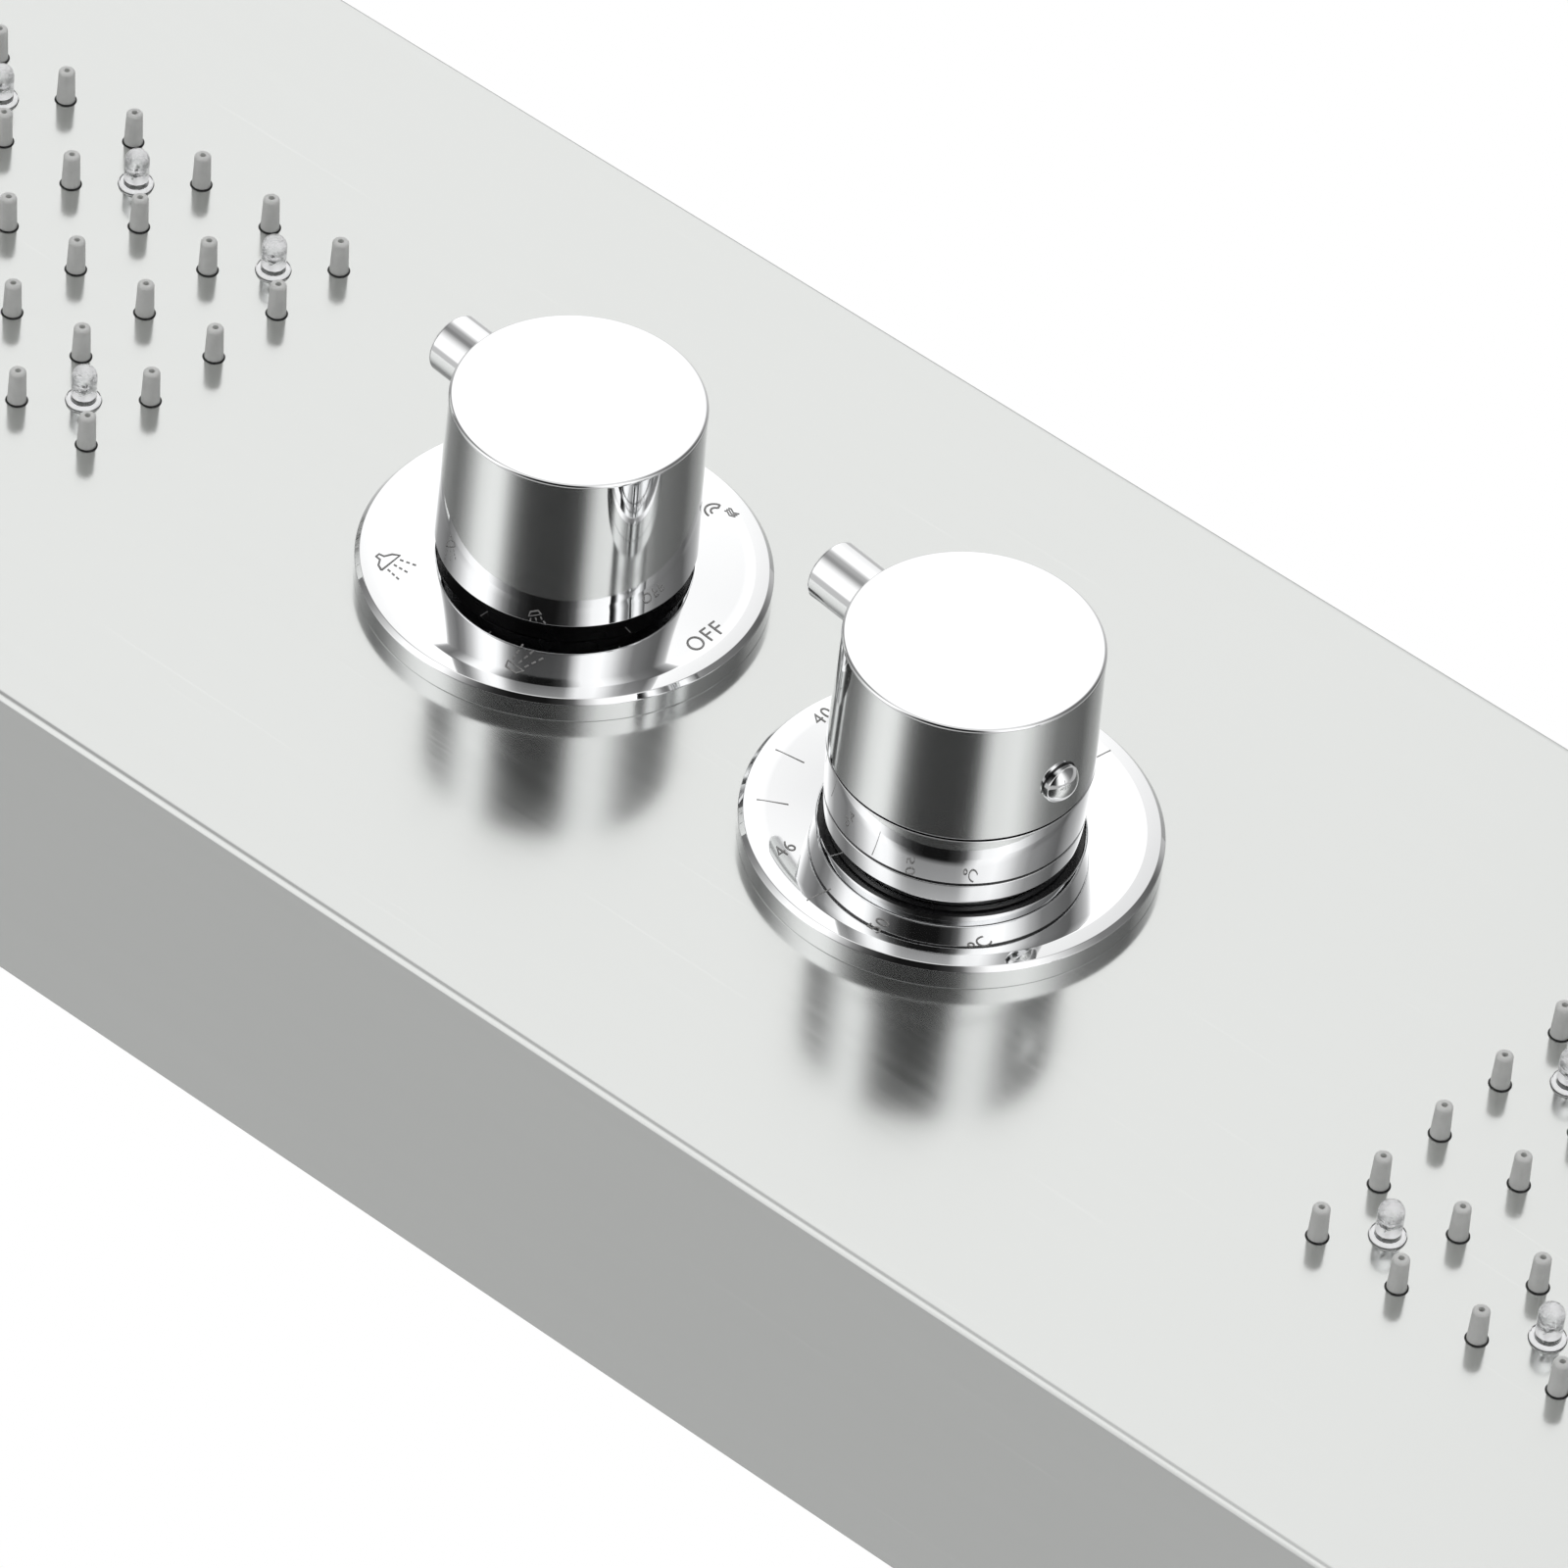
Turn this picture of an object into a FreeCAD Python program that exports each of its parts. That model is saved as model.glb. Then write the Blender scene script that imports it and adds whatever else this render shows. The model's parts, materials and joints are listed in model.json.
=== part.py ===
"""Shower panel column: a folded steel casing with a diverter, a thermostatic mixer and body jets.

Every piece is drawn in the front view: x to the right, y up, z out of the casing's front face.
z = 0 is the front face and y = 0 is the line of the upper wall screws. save() turns the finished
piece into the part's own frame, where +Z is up, the front faces -Y and the wall is the plane Y = 0.
"""
import FreeCAD, Part
import math
import os

V = FreeCAD.Vector

# ---- casing ----
PANEL_WIDTH = 200.0
PANEL_DEPTH = 70.0
PANEL_HEIGHT = 1300.0
SHEET = 1.2
FOLD_RADIUS = 1.8
REAR_FLANGE = 12.0
SEAL_THICKNESS = 1.5
SEAL_WIDTH = 10.0
CAP_LIP = 8.0
TOP_ABOVE_SCREW_LINE = 90.0

# ---- wall brackets and the rails that hang on them ----
BRACKET_WIDTH = 140.0
BRACKET_HEIGHT = 40.0
BRACKET_SHEET = 2.5
BRACKET_SCREW_SPACING = 100.0
BRACKET_SCREW_RADIUS = 2.75
LOWER_BRACKET_ABOVE_BOTTOM = 150.0
HOOK_REACH = 14.0
HOOK_HEIGHT = 10.0
HOOK_OVERLAP = 8.0
HOOK_GAP = 0.3
RAIL_REACH = 16.0
RAIL_HEIGHT = 44.0

# ---- where things sit on the front face ----
DIVERTER_ABOVE_BOTTOM = 520.0
KNOB_SPACING = 98.4
THERMOSTAT_OFFSET = -3.2
JET_SIDE_MARGIN = 63.6
JET_COLUMNS = 5
JET_ROW_PITCH = 18.2
JET_ROWS = 6
UPPER_JETS_ABOVE_DIVERTER = 89.8
LOWER_JETS_BELOW_DIVERTER = 211.8
SPOUT_ABOVE_BOTTOM = 70.0

# ---- nozzles, mats, water boxes and lamps ----
NOZZLE_BASE_RADIUS = 1.9
NOZZLE_TIP_RADIUS = 1.65
NOZZLE_HEIGHT = 7.6
NOZZLE_TIP_ROUND = 0.6
NOZZLE_BORE_RADIUS = 0.6
NOZZLE_CLEARANCE = 0.35
MAT_THICKNESS = 2.0
BOX_DEPTH = 16.0
BOX_WALL = 2.5
BOX_EDGE = 11.0
BOX_FLANGE = 9.0
STUD_RADIUS = 1.95
STUD_TAIL = 1.3
NUT_THICKNESS = 3.0
NUT_RADIUS = 4.0
PORT_LENGTH = 9.0
LED_LENS_RADIUS = 2.5
LED_COLLAR_RADIUS = 3.45
LED_COLLAR_HEIGHT = 0.8
LED_HEIGHT = 8.6
LED_BODY_DEPTH = 9.0
LED_PIN_RADIUS = 0.35
LED_PIN_SPACING = 2.54
LED_CLEARANCE = 0.15
LED_WELL_WALL = 1.2
LED_COLUMNS = (0.5, 3.5)
LED_ROWS = (0.5, 2.5, 4.5)
BOARD_THICKNESS = 1.6

# ---- both controls ----
PLATE_RADIUS = 40.0
PLATE_THICKNESS = 5.4
PLATE_BEVEL = 0.9
DIVERTER_PLATE_HOLE = 24.6
THERMOSTAT_PLATE_HOLE = 27.5
GASKET_INNER = 28.5
GASKET_OUTER = 36.0
GASKET_THICKNESS = 1.0
PANEL_NUT_THICKNESS = 3.0
PANEL_NUT_RADIUS = 23.4
COLLAR_FLANGE = 0.8
COLLAR_NECK_RADIUS = 20.0
COLLAR_NECK_TOP = 13.0
COLLAR_WALL = 2.0
KNOB_RADIUS = 25.1
KNOB_TOP_RADIUS = 24.5
KNOB_EDGE_ROUND = 0.7
KNOB_WALL = 2.6
KNOB_ROOF = 4.0
HUB_RADIUS = 8.5
HUB_BOTTOM = 17.0
SPINDLE_RADIUS = 4.9
SPINDLE_DEPTH = 20.0
SPINDLE_ABOVE_SHANK = 1.0
SPINDLE_END_GAP = 0.5
LEVER_RADIUS = 6.2
LEVER_EDGE = 0.6
LEVER_SHANK_RADIUS = 2.45
LEVER_BELOW_TOP = 9.6

# ---- diverter knob ----
DIVERTER_KNOB_BOTTOM = 11.0
DIVERTER_KNOB_TOP = 45.4
DIVERTER_LEVER_END = 34.6
DIVERTER_REST_ANGLE = -6.5

# ---- thermostat knob, its sleeve and its stop button ----
THERMOSTAT_KNOB_TOP = 50.5
THERMOSTAT_KNOB_BOTTOM = 23.6
THERMOSTAT_LEVER_END = 37.6
THERMOSTAT_REST_ANGLE = -7.0
SLEEVE_BOTTOM = 7.0
SLEEVE_BOTTOM_RADIUS = 24.4
SLEEVE_NECK_RADIUS = 23.0
SLEEVE_NECK_BOTTOM = 4.3
SLEEVE_JOINT = 0.5
SLEEVE_SPIGOT = 3.0
SLEEVE_SPIGOT_WALL = 1.6
SLEEVE_GROOVE_ABOVE_BOTTOM = 4.3
SLEEVE_GROOVE_WIDTH = 0.7
SLEEVE_GROOVE_DEPTH = 0.5
BUTTON_RADIUS = 3.95
BUTTON_ABOVE_FACE = 33.2
BUTTON_RIM = 0.6
BUTTON_DOME = 2.2
BUTTON_TRAVEL = 2.5
BUTTON_FLANGE_RADIUS = 5.0
BUTTON_FLANGE = 1.2
BUTTON_FLANGE_GAP = 1.6
BUTTON_STEM_RADIUS = 1.2
BUTTON_POST_RADIUS = 3.2
BUTTON_POST_END = 12.5
SPRING_WIRE_RADIUS = 0.3
SPRING_RADIUS = 2.3
SPRING_TURNS = 5

# ---- valves ----
VALVE_RADIUS = 24.0
VALVE_FLANGE_RADIUS = 27.0
VALVE_FLANGE = 5.0
VALVE_NECK_RADIUS = 20.0
VALVE_NECK_TOP = 2.6
VALVE_DEPTH = 42.0
CARTRIDGE_RADIUS = 17.4
CARTRIDGE_DEPTH = 36.0
CARTRIDGE_TOP = -4.0
CARTRIDGE_NOSE_RADIUS = 8.4
CARTRIDGE_NOSE_TOP = 10.0
CARTRIDGE_NUT_TOP = 2.2
STUB_RADIUS = 8.0
STUB_END = 32.0
STUB_BORE = 4.5
OUTLET_SPREAD = 12.0

# ---- supply unions ----
SUPPLY_SPACING = 150.0
SUPPLY_ARM_RADIUS = 11.0
SUPPLY_ARM_LEVEL = -34.0
THREAD_RADIUS = 10.48
SUPPLY_STUB_GAP = 8.0
SUPPLY_THREAD_LENGTH = 15.0
SUPPLY_SHOULDER_RADIUS = 12.5
SUPPLY_BORE = 7.5
CHECK_VALVE_LENGTH = 14.0
FILTER_THICKNESS = 1.5

# ---- pipes ----
PIPE_RADIUS = 6.0
PIPE_BORE = 4.5
PIPE_BEND = 16.0
PIPE_LEVEL = -14.0
MIXER_PIPE_LEVEL = -22.0
RAIN_PIPE_LEVEL = -32.0
RAIN_PIPE_BEND = 25.0
JET_PIPE_OFFSET = -38.0
SPOUT_PIPE_FROM_SIDE = 36.0
HAND_PIPE_FROM_SIDE = 16.0
PIPE_NUT_LENGTH = 9.0
PIPE_NUT_RADIUS = 9.4

# ---- rain head ----
RAIN_HEAD_LENGTH = 400.0
RAIN_HEAD_HEIGHT = 40.0
RAIN_SIDE_MARGIN = 28.0
RAIN_END_MARGIN = 50.0
RAIN_COLUMNS = 7
RAIN_NOZZLE_HEIGHT = 4.0
RAIN_PORT_LENGTH = 12.0
RAIN_SCREW_RADIUS = 2.4
RAIN_SCREW_FROM_SIDE = 25.0
RAIN_SCREW_RISE = 12.0
RAIN_SCREW_HEAD_RADIUS = 4.5
RAIN_SCREW_HEAD = 3.0
RAIN_BOSS_RADIUS = 4.5
RAIN_BOSS_LENGTH = 8.0

# ---- spout, hand-shower outlet and lamp supply ----
SPOUT_RADIUS = 13.0
SPOUT_BORE = 9.0
NIPPLE_BORE = 7.0
SPOUT_REACH = 120.0
SPOUT_DROP = 26.0
SPOUT_FLANGE_RADIUS = 30.0
SPOUT_FLANGE = 5.0
SPOUT_NIPPLE_RADIUS = 10.0
SPOUT_NIPPLE_END = -10.0
SPOUT_NUT_RADIUS = 15.0
SPOUT_NUT = 4.0
AERATOR_RADIUS = 11.0
AERATOR_LENGTH = 8.0
AERATOR_BORE = 5.0
ELBOW_RADIUS = 12.5
ELBOW_BACK = -24.0
ELBOW_FRONT = -6.0
OUTLET_THREAD_LENGTH = 14.0
OUTLET_RELIEF = 0.6
OUTLET_FLANGE_RADIUS = 11.4
OUTLET_FLANGE = 6.0
OUTLET_TAIL = 10.0
POWER_BOX_SIZE = (60.0, 70.0, 22.0)
POWER_BOX_ABOVE_BOTTOM = 100.0
GLAND_RADIUS = 4.0
GLAND_LENGTH = 8.0
GLAND_SPACING = 30.0

# ---- clearances ----
FIT = 0.05
SLIP = 0.1
END_GAP = 0.3
TINY = 1e-6

# ---- how far a cut, or a piece joined to another, runs past the surface between them ----
PAST = 1.0

# ---- places that follow from the sizes above ----
TOP = TOP_ABOVE_SCREW_LINE
BOTTOM = TOP - PANEL_HEIGHT
LOWER_BRACKET_Y = BOTTOM + LOWER_BRACKET_ABOVE_BOTTOM
DIVERTER_Y = BOTTOM + DIVERTER_ABOVE_BOTTOM
THERMOSTAT_Y = DIVERTER_Y - KNOB_SPACING
JET_COLUMN_PITCH = (PANEL_WIDTH - 2 * JET_SIDE_MARGIN) / (JET_COLUMNS - 1)
JET_SPAN = JET_ROW_PITCH * (JET_ROWS - 1)
UPPER_JETS_Y = DIVERTER_Y + UPPER_JETS_ABOVE_DIVERTER + JET_SPAN / 2
LOWER_JETS_Y = DIVERTER_Y - LOWER_JETS_BELOW_DIVERTER - JET_SPAN / 2
SPOUT_Y = BOTTOM + SPOUT_ABOVE_BOTTOM
INNER_HALF = PANEL_WIDTH / 2 - SHEET
HAND_PIPE_OFFSET = PANEL_WIDTH / 2 - HAND_PIPE_FROM_SIDE
SPOUT_PIPE_OFFSET = PANEL_WIDTH / 2 - SPOUT_PIPE_FROM_SIDE
RAIN_PITCH = (PANEL_WIDTH - 2 * RAIN_SIDE_MARGIN) / (RAIN_COLUMNS - 1)
RAIN_ROWS = int((RAIN_HEAD_LENGTH - 2 * RAIN_END_MARGIN) / RAIN_PITCH) + 1
WALL = -PANEL_DEPTH
CASING_BACK = WALL + SEAL_THICKNESS


# ---- small shapes ----
def box(x, y, z):
    """A block between three (low, high) pairs."""
    size = [pair[1] - pair[0] for pair in (x, y, z)]
    return Part.makeBox(*size, V(x[0], y[0], z[0]))


def rod(radius, start, end):
    """A round bar from one point to another."""
    start, end = V(*start), V(*end)
    run = end - start
    return Part.makeCylinder(radius, run.Length, start, run)


def ring(outer, inner, low, high, x=0.0, y=0.0):
    """A washer around the z direction."""
    return rod(outer, (x, y, low), (x, y, high)).cut(rod(inner, (x, y, low - PAST), (x, y, high + PAST)))


def hexagon(radius, start, end):
    """A six-sided bar from one point to another, with its corners at the radius."""
    start, end = V(*start), V(*end)
    run = end - start
    corners = [V(radius * math.cos(math.radians(60 * i)), radius * math.sin(math.radians(60 * i)), 0)
               for i in range(7)]
    bar = Part.Face(Part.makePolygon(corners)).extrude(V(0, 0, run.Length))
    bar.Placement = FreeCAD.Placement(start, FreeCAD.Rotation(V(0, 0, 1), run))
    return bar


def turned(outline, x=0.0, y=0.0):
    """A solid turned about the z direction from (radius, height) points.

    An entry of two points is an arc through the first to the second.
    """
    edges = []
    here = outline[0]
    for entry in list(outline[1:]) + [outline[0]]:
        if isinstance(entry[0], tuple):
            middle, end = entry
            arc = Part.Arc(V(here[0], 0, here[1]), V(middle[0], 0, middle[1]), V(end[0], 0, end[1]))
            edges.append(arc.toShape())
        else:
            end = entry
            edges.append(Part.makeLine(V(here[0], 0, here[1]), V(end[0], 0, end[1])))
        here = end
    shape = Part.Face(Part.Wire(edges)).revolve(V(0, 0, 0), V(0, 0, 1), 360)
    shape.translate(V(x, y, 0))
    return shape


def rounded_corner(radius, height, size):
    """The arc entry that rounds an outer top corner at this radius and height."""
    share = size * (1 - math.sqrt(0.5))
    return ((radius - share, height - share), (radius - size, height))


def joined(shapes):
    """One solid from several that overlap or meet."""
    shapes = list(shapes)
    return shapes[0].fuse(shapes[1:]).removeSplitter()


def group(shapes):
    """Several separate solids kept in one node."""
    return Part.makeCompound(list(shapes))


def turn(shape, x, y, angle):
    """The same shape turned about a control's axis, counter-clockwise from the front."""
    shape = shape.copy()
    shape.rotate(V(x, y, 0), V(0, 0, 1), angle)
    return shape


def edges_along_y(shape, z):
    """The edges of a block that run along y at this height."""
    found = []
    for edge in shape.Edges:
        bounds = edge.BoundBox
        if bounds.XLength < TINY and bounds.ZLength < TINY and abs(bounds.ZMax - z) < TINY:
            found.append(edge)
    return found


def pipe_sweep(points, radius, bend):
    """A bar along straight runs joined by tangent arcs."""
    points = [V(*point) for point in points]
    edges = []
    here = points[0]
    for before, corner, after in zip(points, points[1:], points[2:]):
        inward = (before - corner).normalize()
        outward = (after - corner).normalize()
        half = inward.getAngle(outward) / 2
        setback = bend / math.tan(half)
        start = corner + inward * setback
        end = corner + outward * setback
        middle_way = (inward + outward).normalize()
        middle = corner + middle_way * (bend / math.sin(half) - bend)
        edges.append(Part.makeLine(here, start))
        edges.append(Part.Arc(start, middle, end).toShape())
        here = end
    edges.append(Part.makeLine(here, points[-1]))
    along = (points[1] - points[0]).normalize()
    section = Part.Wire(Part.makeCircle(radius, points[0], along))
    return Part.Wire(edges).makePipeShell([section], True, False)


def pipe(points, bend):
    """A hollow pipe along the points."""
    return pipe_sweep(points, PIPE_RADIUS, bend).cut(pipe_sweep(points, PIPE_BORE, bend))


# ---- jet groups: drawn with the sheet's outer face at z = 0 and the grid's middle at the origin ----
def grid(columns, rows, pitches):
    """The nozzle places of a group, with its (column, row) pitches."""
    return [((i - (columns - 1) / 2) * pitches[0], (j - (rows - 1) / 2) * pitches[1])
            for i in range(columns) for j in range(rows)]


def lamp_places():
    """The lamp places of a body-jet group, in the middle of cells of four nozzles."""
    return [((i - (JET_COLUMNS - 1) / 2) * JET_COLUMN_PITCH, (j - (JET_ROWS - 1) / 2) * JET_ROW_PITCH)
            for i in LED_COLUMNS for j in LED_ROWS]


def box_half_size(columns, rows, pitches):
    """Half the width and height of the water box behind a group."""
    return (columns - 1) / 2 * pitches[0] + BOX_EDGE, (rows - 1) / 2 * pitches[1] + BOX_EDGE


def stud_places(columns, rows, pitches):
    """The studs at the corners of the water box's flange."""
    half_x, half_y = box_half_size(columns, rows, pitches)
    reach = BOX_FLANGE / 2
    return [(sx * (half_x + reach), sy * (half_y + reach)) for sx in (-1, 1) for sy in (-1, 1)]


FLANGE_BACK = -SHEET - MAT_THICKNESS - BOX_WALL
NUT_BACK = FLANGE_BACK - NUT_THICKNESS
BOX_BACK = -SHEET - MAT_THICKNESS - BOX_DEPTH
BOARD_BACK = BOX_BACK - BOARD_THICKNESS


def sheet_holes(columns, rows, pitches, lamps):
    """What is drilled out of the sheet in front of a group."""
    holes = [rod(NOZZLE_BASE_RADIUS + NOZZLE_CLEARANCE, (x, y, -SHEET - PAST), (x, y, PAST))
             for x, y in grid(columns, rows, pitches)]
    holes += [rod(LED_COLLAR_RADIUS + LED_CLEARANCE, (x, y, -SHEET - PAST), (x, y, PAST)) for x, y in lamps]
    return holes


def studs(columns, rows, pitches):
    """The studs on the back of the sheet, each welded on by its foot."""
    return [rod(STUD_RADIUS, (x, y, NUT_BACK - STUD_TAIL), (x, y, -SHEET))
            for x, y in stud_places(columns, rows, pitches)]


def nozzle(height):
    """One hollow silicone nozzle with a rounded tip."""
    tip = NOZZLE_TIP_RADIUS
    return turned([
        (NOZZLE_BORE_RADIUS, -SHEET),
        (NOZZLE_BASE_RADIUS, -SHEET),
        (NOZZLE_BASE_RADIUS, 0.0),
        (tip, height - NOZZLE_TIP_ROUND),
        rounded_corner(tip, height, NOZZLE_TIP_ROUND),
        (NOZZLE_BORE_RADIUS, height),
    ])


def nozzle_mat(columns, rows, pitches, lamps, height):
    """The silicone mat behind the sheet, with its nozzles through the sheet's holes."""
    half_x, half_y = box_half_size(columns, rows, pitches)
    reach_x, reach_y = half_x + BOX_FLANGE, half_y + BOX_FLANGE
    mat = box((-reach_x, reach_x), (-reach_y, reach_y), (-SHEET - MAT_THICKNESS, -SHEET))
    holes = [rod(STUD_RADIUS + SLIP, (x, y, -SHEET - MAT_THICKNESS - PAST), (x, y, 0))
             for x, y in stud_places(columns, rows, pitches)]
    holes += [rod(LED_COLLAR_RADIUS + LED_CLEARANCE, (x, y, -SHEET - MAT_THICKNESS - PAST), (x, y, 0))
              for x, y in lamps]
    holes += [rod(NOZZLE_BORE_RADIUS, (x, y, -SHEET - MAT_THICKNESS - PAST), (x, y, 0))
              for x, y in grid(columns, rows, pitches)]
    mat = mat.cut(holes)
    model = nozzle(height)
    nozzles = []
    for x, y in grid(columns, rows, pitches):
        copy = model.copy()
        copy.translate(V(x, y, 0))
        nozzles.append(copy)
    return mat.fuse(nozzles)


def water_box(columns, rows, pitches, lamps, ports):
    """The tray that holds water behind the mat, with a dry well around each lamp."""
    half_x, half_y = box_half_size(columns, rows, pitches)
    front = -SHEET - MAT_THICKNESS
    tray = box((-half_x, half_x), (-half_y, half_y), (BOX_BACK, front))
    inside = box((-half_x + BOX_WALL, half_x - BOX_WALL), (-half_y + BOX_WALL, half_y - BOX_WALL),
                 (BOX_BACK + BOX_WALL, front + PAST))
    flange = box((-half_x - BOX_FLANGE, half_x + BOX_FLANGE), (-half_y - BOX_FLANGE, half_y + BOX_FLANGE),
                 (FLANGE_BACK, front))
    well_bore = LED_COLLAR_RADIUS + LED_CLEARANCE
    wells = [rod(well_bore + LED_WELL_WALL, (x, y, BOX_BACK), (x, y, front)) for x, y in lamps]
    stubs = [rod(PIPE_RADIUS, start, end) for start, end in ports]
    shell = joined([tray, flange] + stubs).cut(inside)
    if wells:
        shell = joined([shell] + wells)
    holes = [rod(well_bore, (x, y, BOX_BACK - PAST), (x, y, front + PAST)) for x, y in lamps]
    holes += [rod(STUD_RADIUS + SLIP, (x, y, FLANGE_BACK - PAST), (x, y, front + PAST))
              for x, y in stud_places(columns, rows, pitches)]
    holes += [rod(PIPE_BORE, start, end) for start, end in ports]
    return shell.cut(holes)


def box_nuts(columns, rows, pitches):
    """The nuts on a group's studs."""
    return [hexagon(NUT_RADIUS, (x, y, NUT_BACK), (x, y, FLANGE_BACK)).cut(
        rod(STUD_RADIUS + FIT, (x, y, NUT_BACK - PAST), (x, y, 0)))
        for x, y in stud_places(columns, rows, pitches)]


def lamp(x, y):
    """A clear lamp: domed lens, collar in the sheet's hole, body in the well and two pins."""
    straight = LED_HEIGHT - LED_LENS_RADIUS
    slant = LED_LENS_RADIUS * math.sqrt(0.5)
    body = turned([
        (0.0, -LED_BODY_DEPTH),
        (LED_COLLAR_RADIUS, -LED_BODY_DEPTH),
        (LED_COLLAR_RADIUS, LED_COLLAR_HEIGHT),
        (LED_LENS_RADIUS, LED_COLLAR_HEIGHT),
        (LED_LENS_RADIUS, straight),
        ((slant, straight + slant), (0.0, LED_HEIGHT)),
    ], x, y)
    pins = [rod(LED_PIN_RADIUS, (x + side * LED_PIN_SPACING / 2, y, BOARD_BACK - PAST),
                (x + side * LED_PIN_SPACING / 2, y, -LED_BODY_DEPTH)) for side in (-1, 1)]
    return body.fuse(pins)


def lamp_board():
    """The circuit board on the back of a body-jet group's water box."""
    reach_x = (LED_COLUMNS[-1] - LED_COLUMNS[0]) / 2 * JET_COLUMN_PITCH + LED_COLLAR_RADIUS + LED_WELL_WALL
    reach_y = (LED_ROWS[-1] - LED_ROWS[0]) / 2 * JET_ROW_PITCH + LED_COLLAR_RADIUS + LED_WELL_WALL
    board = box((-reach_x, reach_x), (-reach_y, reach_y), (BOARD_BACK, BOX_BACK))
    holes = [rod(LED_PIN_RADIUS + FIT, (x + side * LED_PIN_SPACING / 2, y, BOARD_BACK - PAST),
                 (x + side * LED_PIN_SPACING / 2, y, BOX_BACK + PAST))
             for x, y in lamp_places() for side in (-1, 1)]
    return board.cut(holes)


def moved(shapes, x, y, z=0.0):
    """Copies of the shapes, shifted."""
    copies = []
    for shape in shapes:
        copy = shape.copy()
        copy.translate(V(x, y, z))
        copies.append(copy)
    return copies


def to_rain_head(shapes):
    """Copies of a group's shapes, laid so that its nozzles point down from the rain head."""
    copies = []
    for shape in shapes:
        copy = shape.copy()
        copy.rotate(V(0, 0, 0), V(1, 0, 0), 90)
        copy.translate(V(0, TOP - RAIN_HEAD_HEIGHT, RAIN_HEAD_LENGTH / 2))
        copies.append(copy)
    return copies


BODY_JETS = (JET_COLUMNS, JET_ROWS, (JET_COLUMN_PITCH, JET_ROW_PITCH))
RAIN_JETS = (RAIN_COLUMNS, RAIN_ROWS, (RAIN_PITCH, RAIN_PITCH))


# ---- casing and what hangs it ----
def rain_screw_places():
    """Where the rain head's screws pass through the column's front, as (x, y)."""
    middle = TOP - RAIN_HEAD_HEIGHT / 2
    half_across, half_up = PANEL_WIDTH / 2 - RAIN_SCREW_FROM_SIDE, RAIN_SCREW_RISE / 2
    return [(sx * half_across, middle + sy * half_up) for sx in (-1, 1) for sy in (-1, 1)]


RAIN_FEED_Y = TOP - RAIN_HEAD_HEIGHT + SHEET + MAT_THICKNESS + BOX_DEPTH / 2


def front_casing():
    """The folded sheet: front, two sides and the rear flanges, with every hole."""
    half = PANEL_WIDTH / 2
    outer = box((-half, half), (BOTTOM, TOP), (CASING_BACK, 0.0))
    outer = outer.makeFillet(FOLD_RADIUS, edges_along_y(outer, 0.0))
    inner = box((-INNER_HALF, INNER_HALF), (BOTTOM - PAST, TOP + PAST), (CASING_BACK + SHEET, -SHEET))
    inner = inner.makeFillet(FOLD_RADIUS - SHEET, edges_along_y(inner, -SHEET))
    mouth_half = half - REAR_FLANGE
    mouth = box((-mouth_half, mouth_half), (BOTTOM - PAST, TOP + PAST),
                (CASING_BACK - PAST, CASING_BACK + SHEET))
    holes = [inner, mouth]
    group_holes = sheet_holes(*BODY_JETS, lamp_places())
    holes += moved(group_holes, 0, UPPER_JETS_Y) + moved(group_holes, 0, LOWER_JETS_Y)
    for x, y in ((0.0, DIVERTER_Y), (THERMOSTAT_OFFSET, THERMOSTAT_Y)):
        holes.append(rod(VALVE_NECK_RADIUS + SLIP, (x, y, -SHEET - PAST), (x, y, PAST)))
    holes.append(rod(PIPE_RADIUS + SLIP, (0, RAIN_FEED_Y, -SHEET - PAST), (0, RAIN_FEED_Y, PAST)))
    holes += [rod(RAIN_SCREW_RADIUS + SLIP, (x, y, -SHEET - PAST), (x, y, PAST))
              for x, y in rain_screw_places()]
    holes.append(rod(SPOUT_NIPPLE_RADIUS + SLIP, (0, SPOUT_Y, -SHEET - PAST), (0, SPOUT_Y, PAST)))
    return outer.cut(holes)


def end_cap(edge, inward):
    """A lid at one end of the casing, with lips along its front and sides."""
    far = edge + inward * (SHEET + CAP_LIP)
    low, high = min(edge, far), max(edge, far)
    block = box((-INNER_HALF, INNER_HALF), (low, high), (CASING_BACK + SHEET, -SHEET))
    block = block.makeFillet(FOLD_RADIUS - SHEET, edges_along_y(block, -SHEET))
    start, end = edge + inward * SHEET, far + inward
    hollow = box((-INNER_HALF + SHEET, INNER_HALF - SHEET), (min(start, end), max(start, end)),
                 (CASING_BACK, -2 * SHEET))
    return block.cut(hollow)


def bottom_end_cap():
    """The lower lid, with the hole for the hand-shower outlet."""
    hole = rod(THREAD_RADIUS + SLIP, (HAND_PIPE_OFFSET, BOTTOM - PAST, PIPE_LEVEL),
               (HAND_PIPE_OFFSET, BOTTOM + SHEET + PAST, PIPE_LEVEL))
    return end_cap(BOTTOM, 1).cut(hole)


def seal_strips():
    """Foam strips between the rear flanges and the wall."""
    outer = PANEL_WIDTH / 2 - FOLD_RADIUS
    inner = outer - SEAL_WIDTH
    return group([box(across, (BOTTOM, TOP), (WALL, CASING_BACK))
                  for across in ((-outer, -inner), (inner, outer))])


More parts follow.
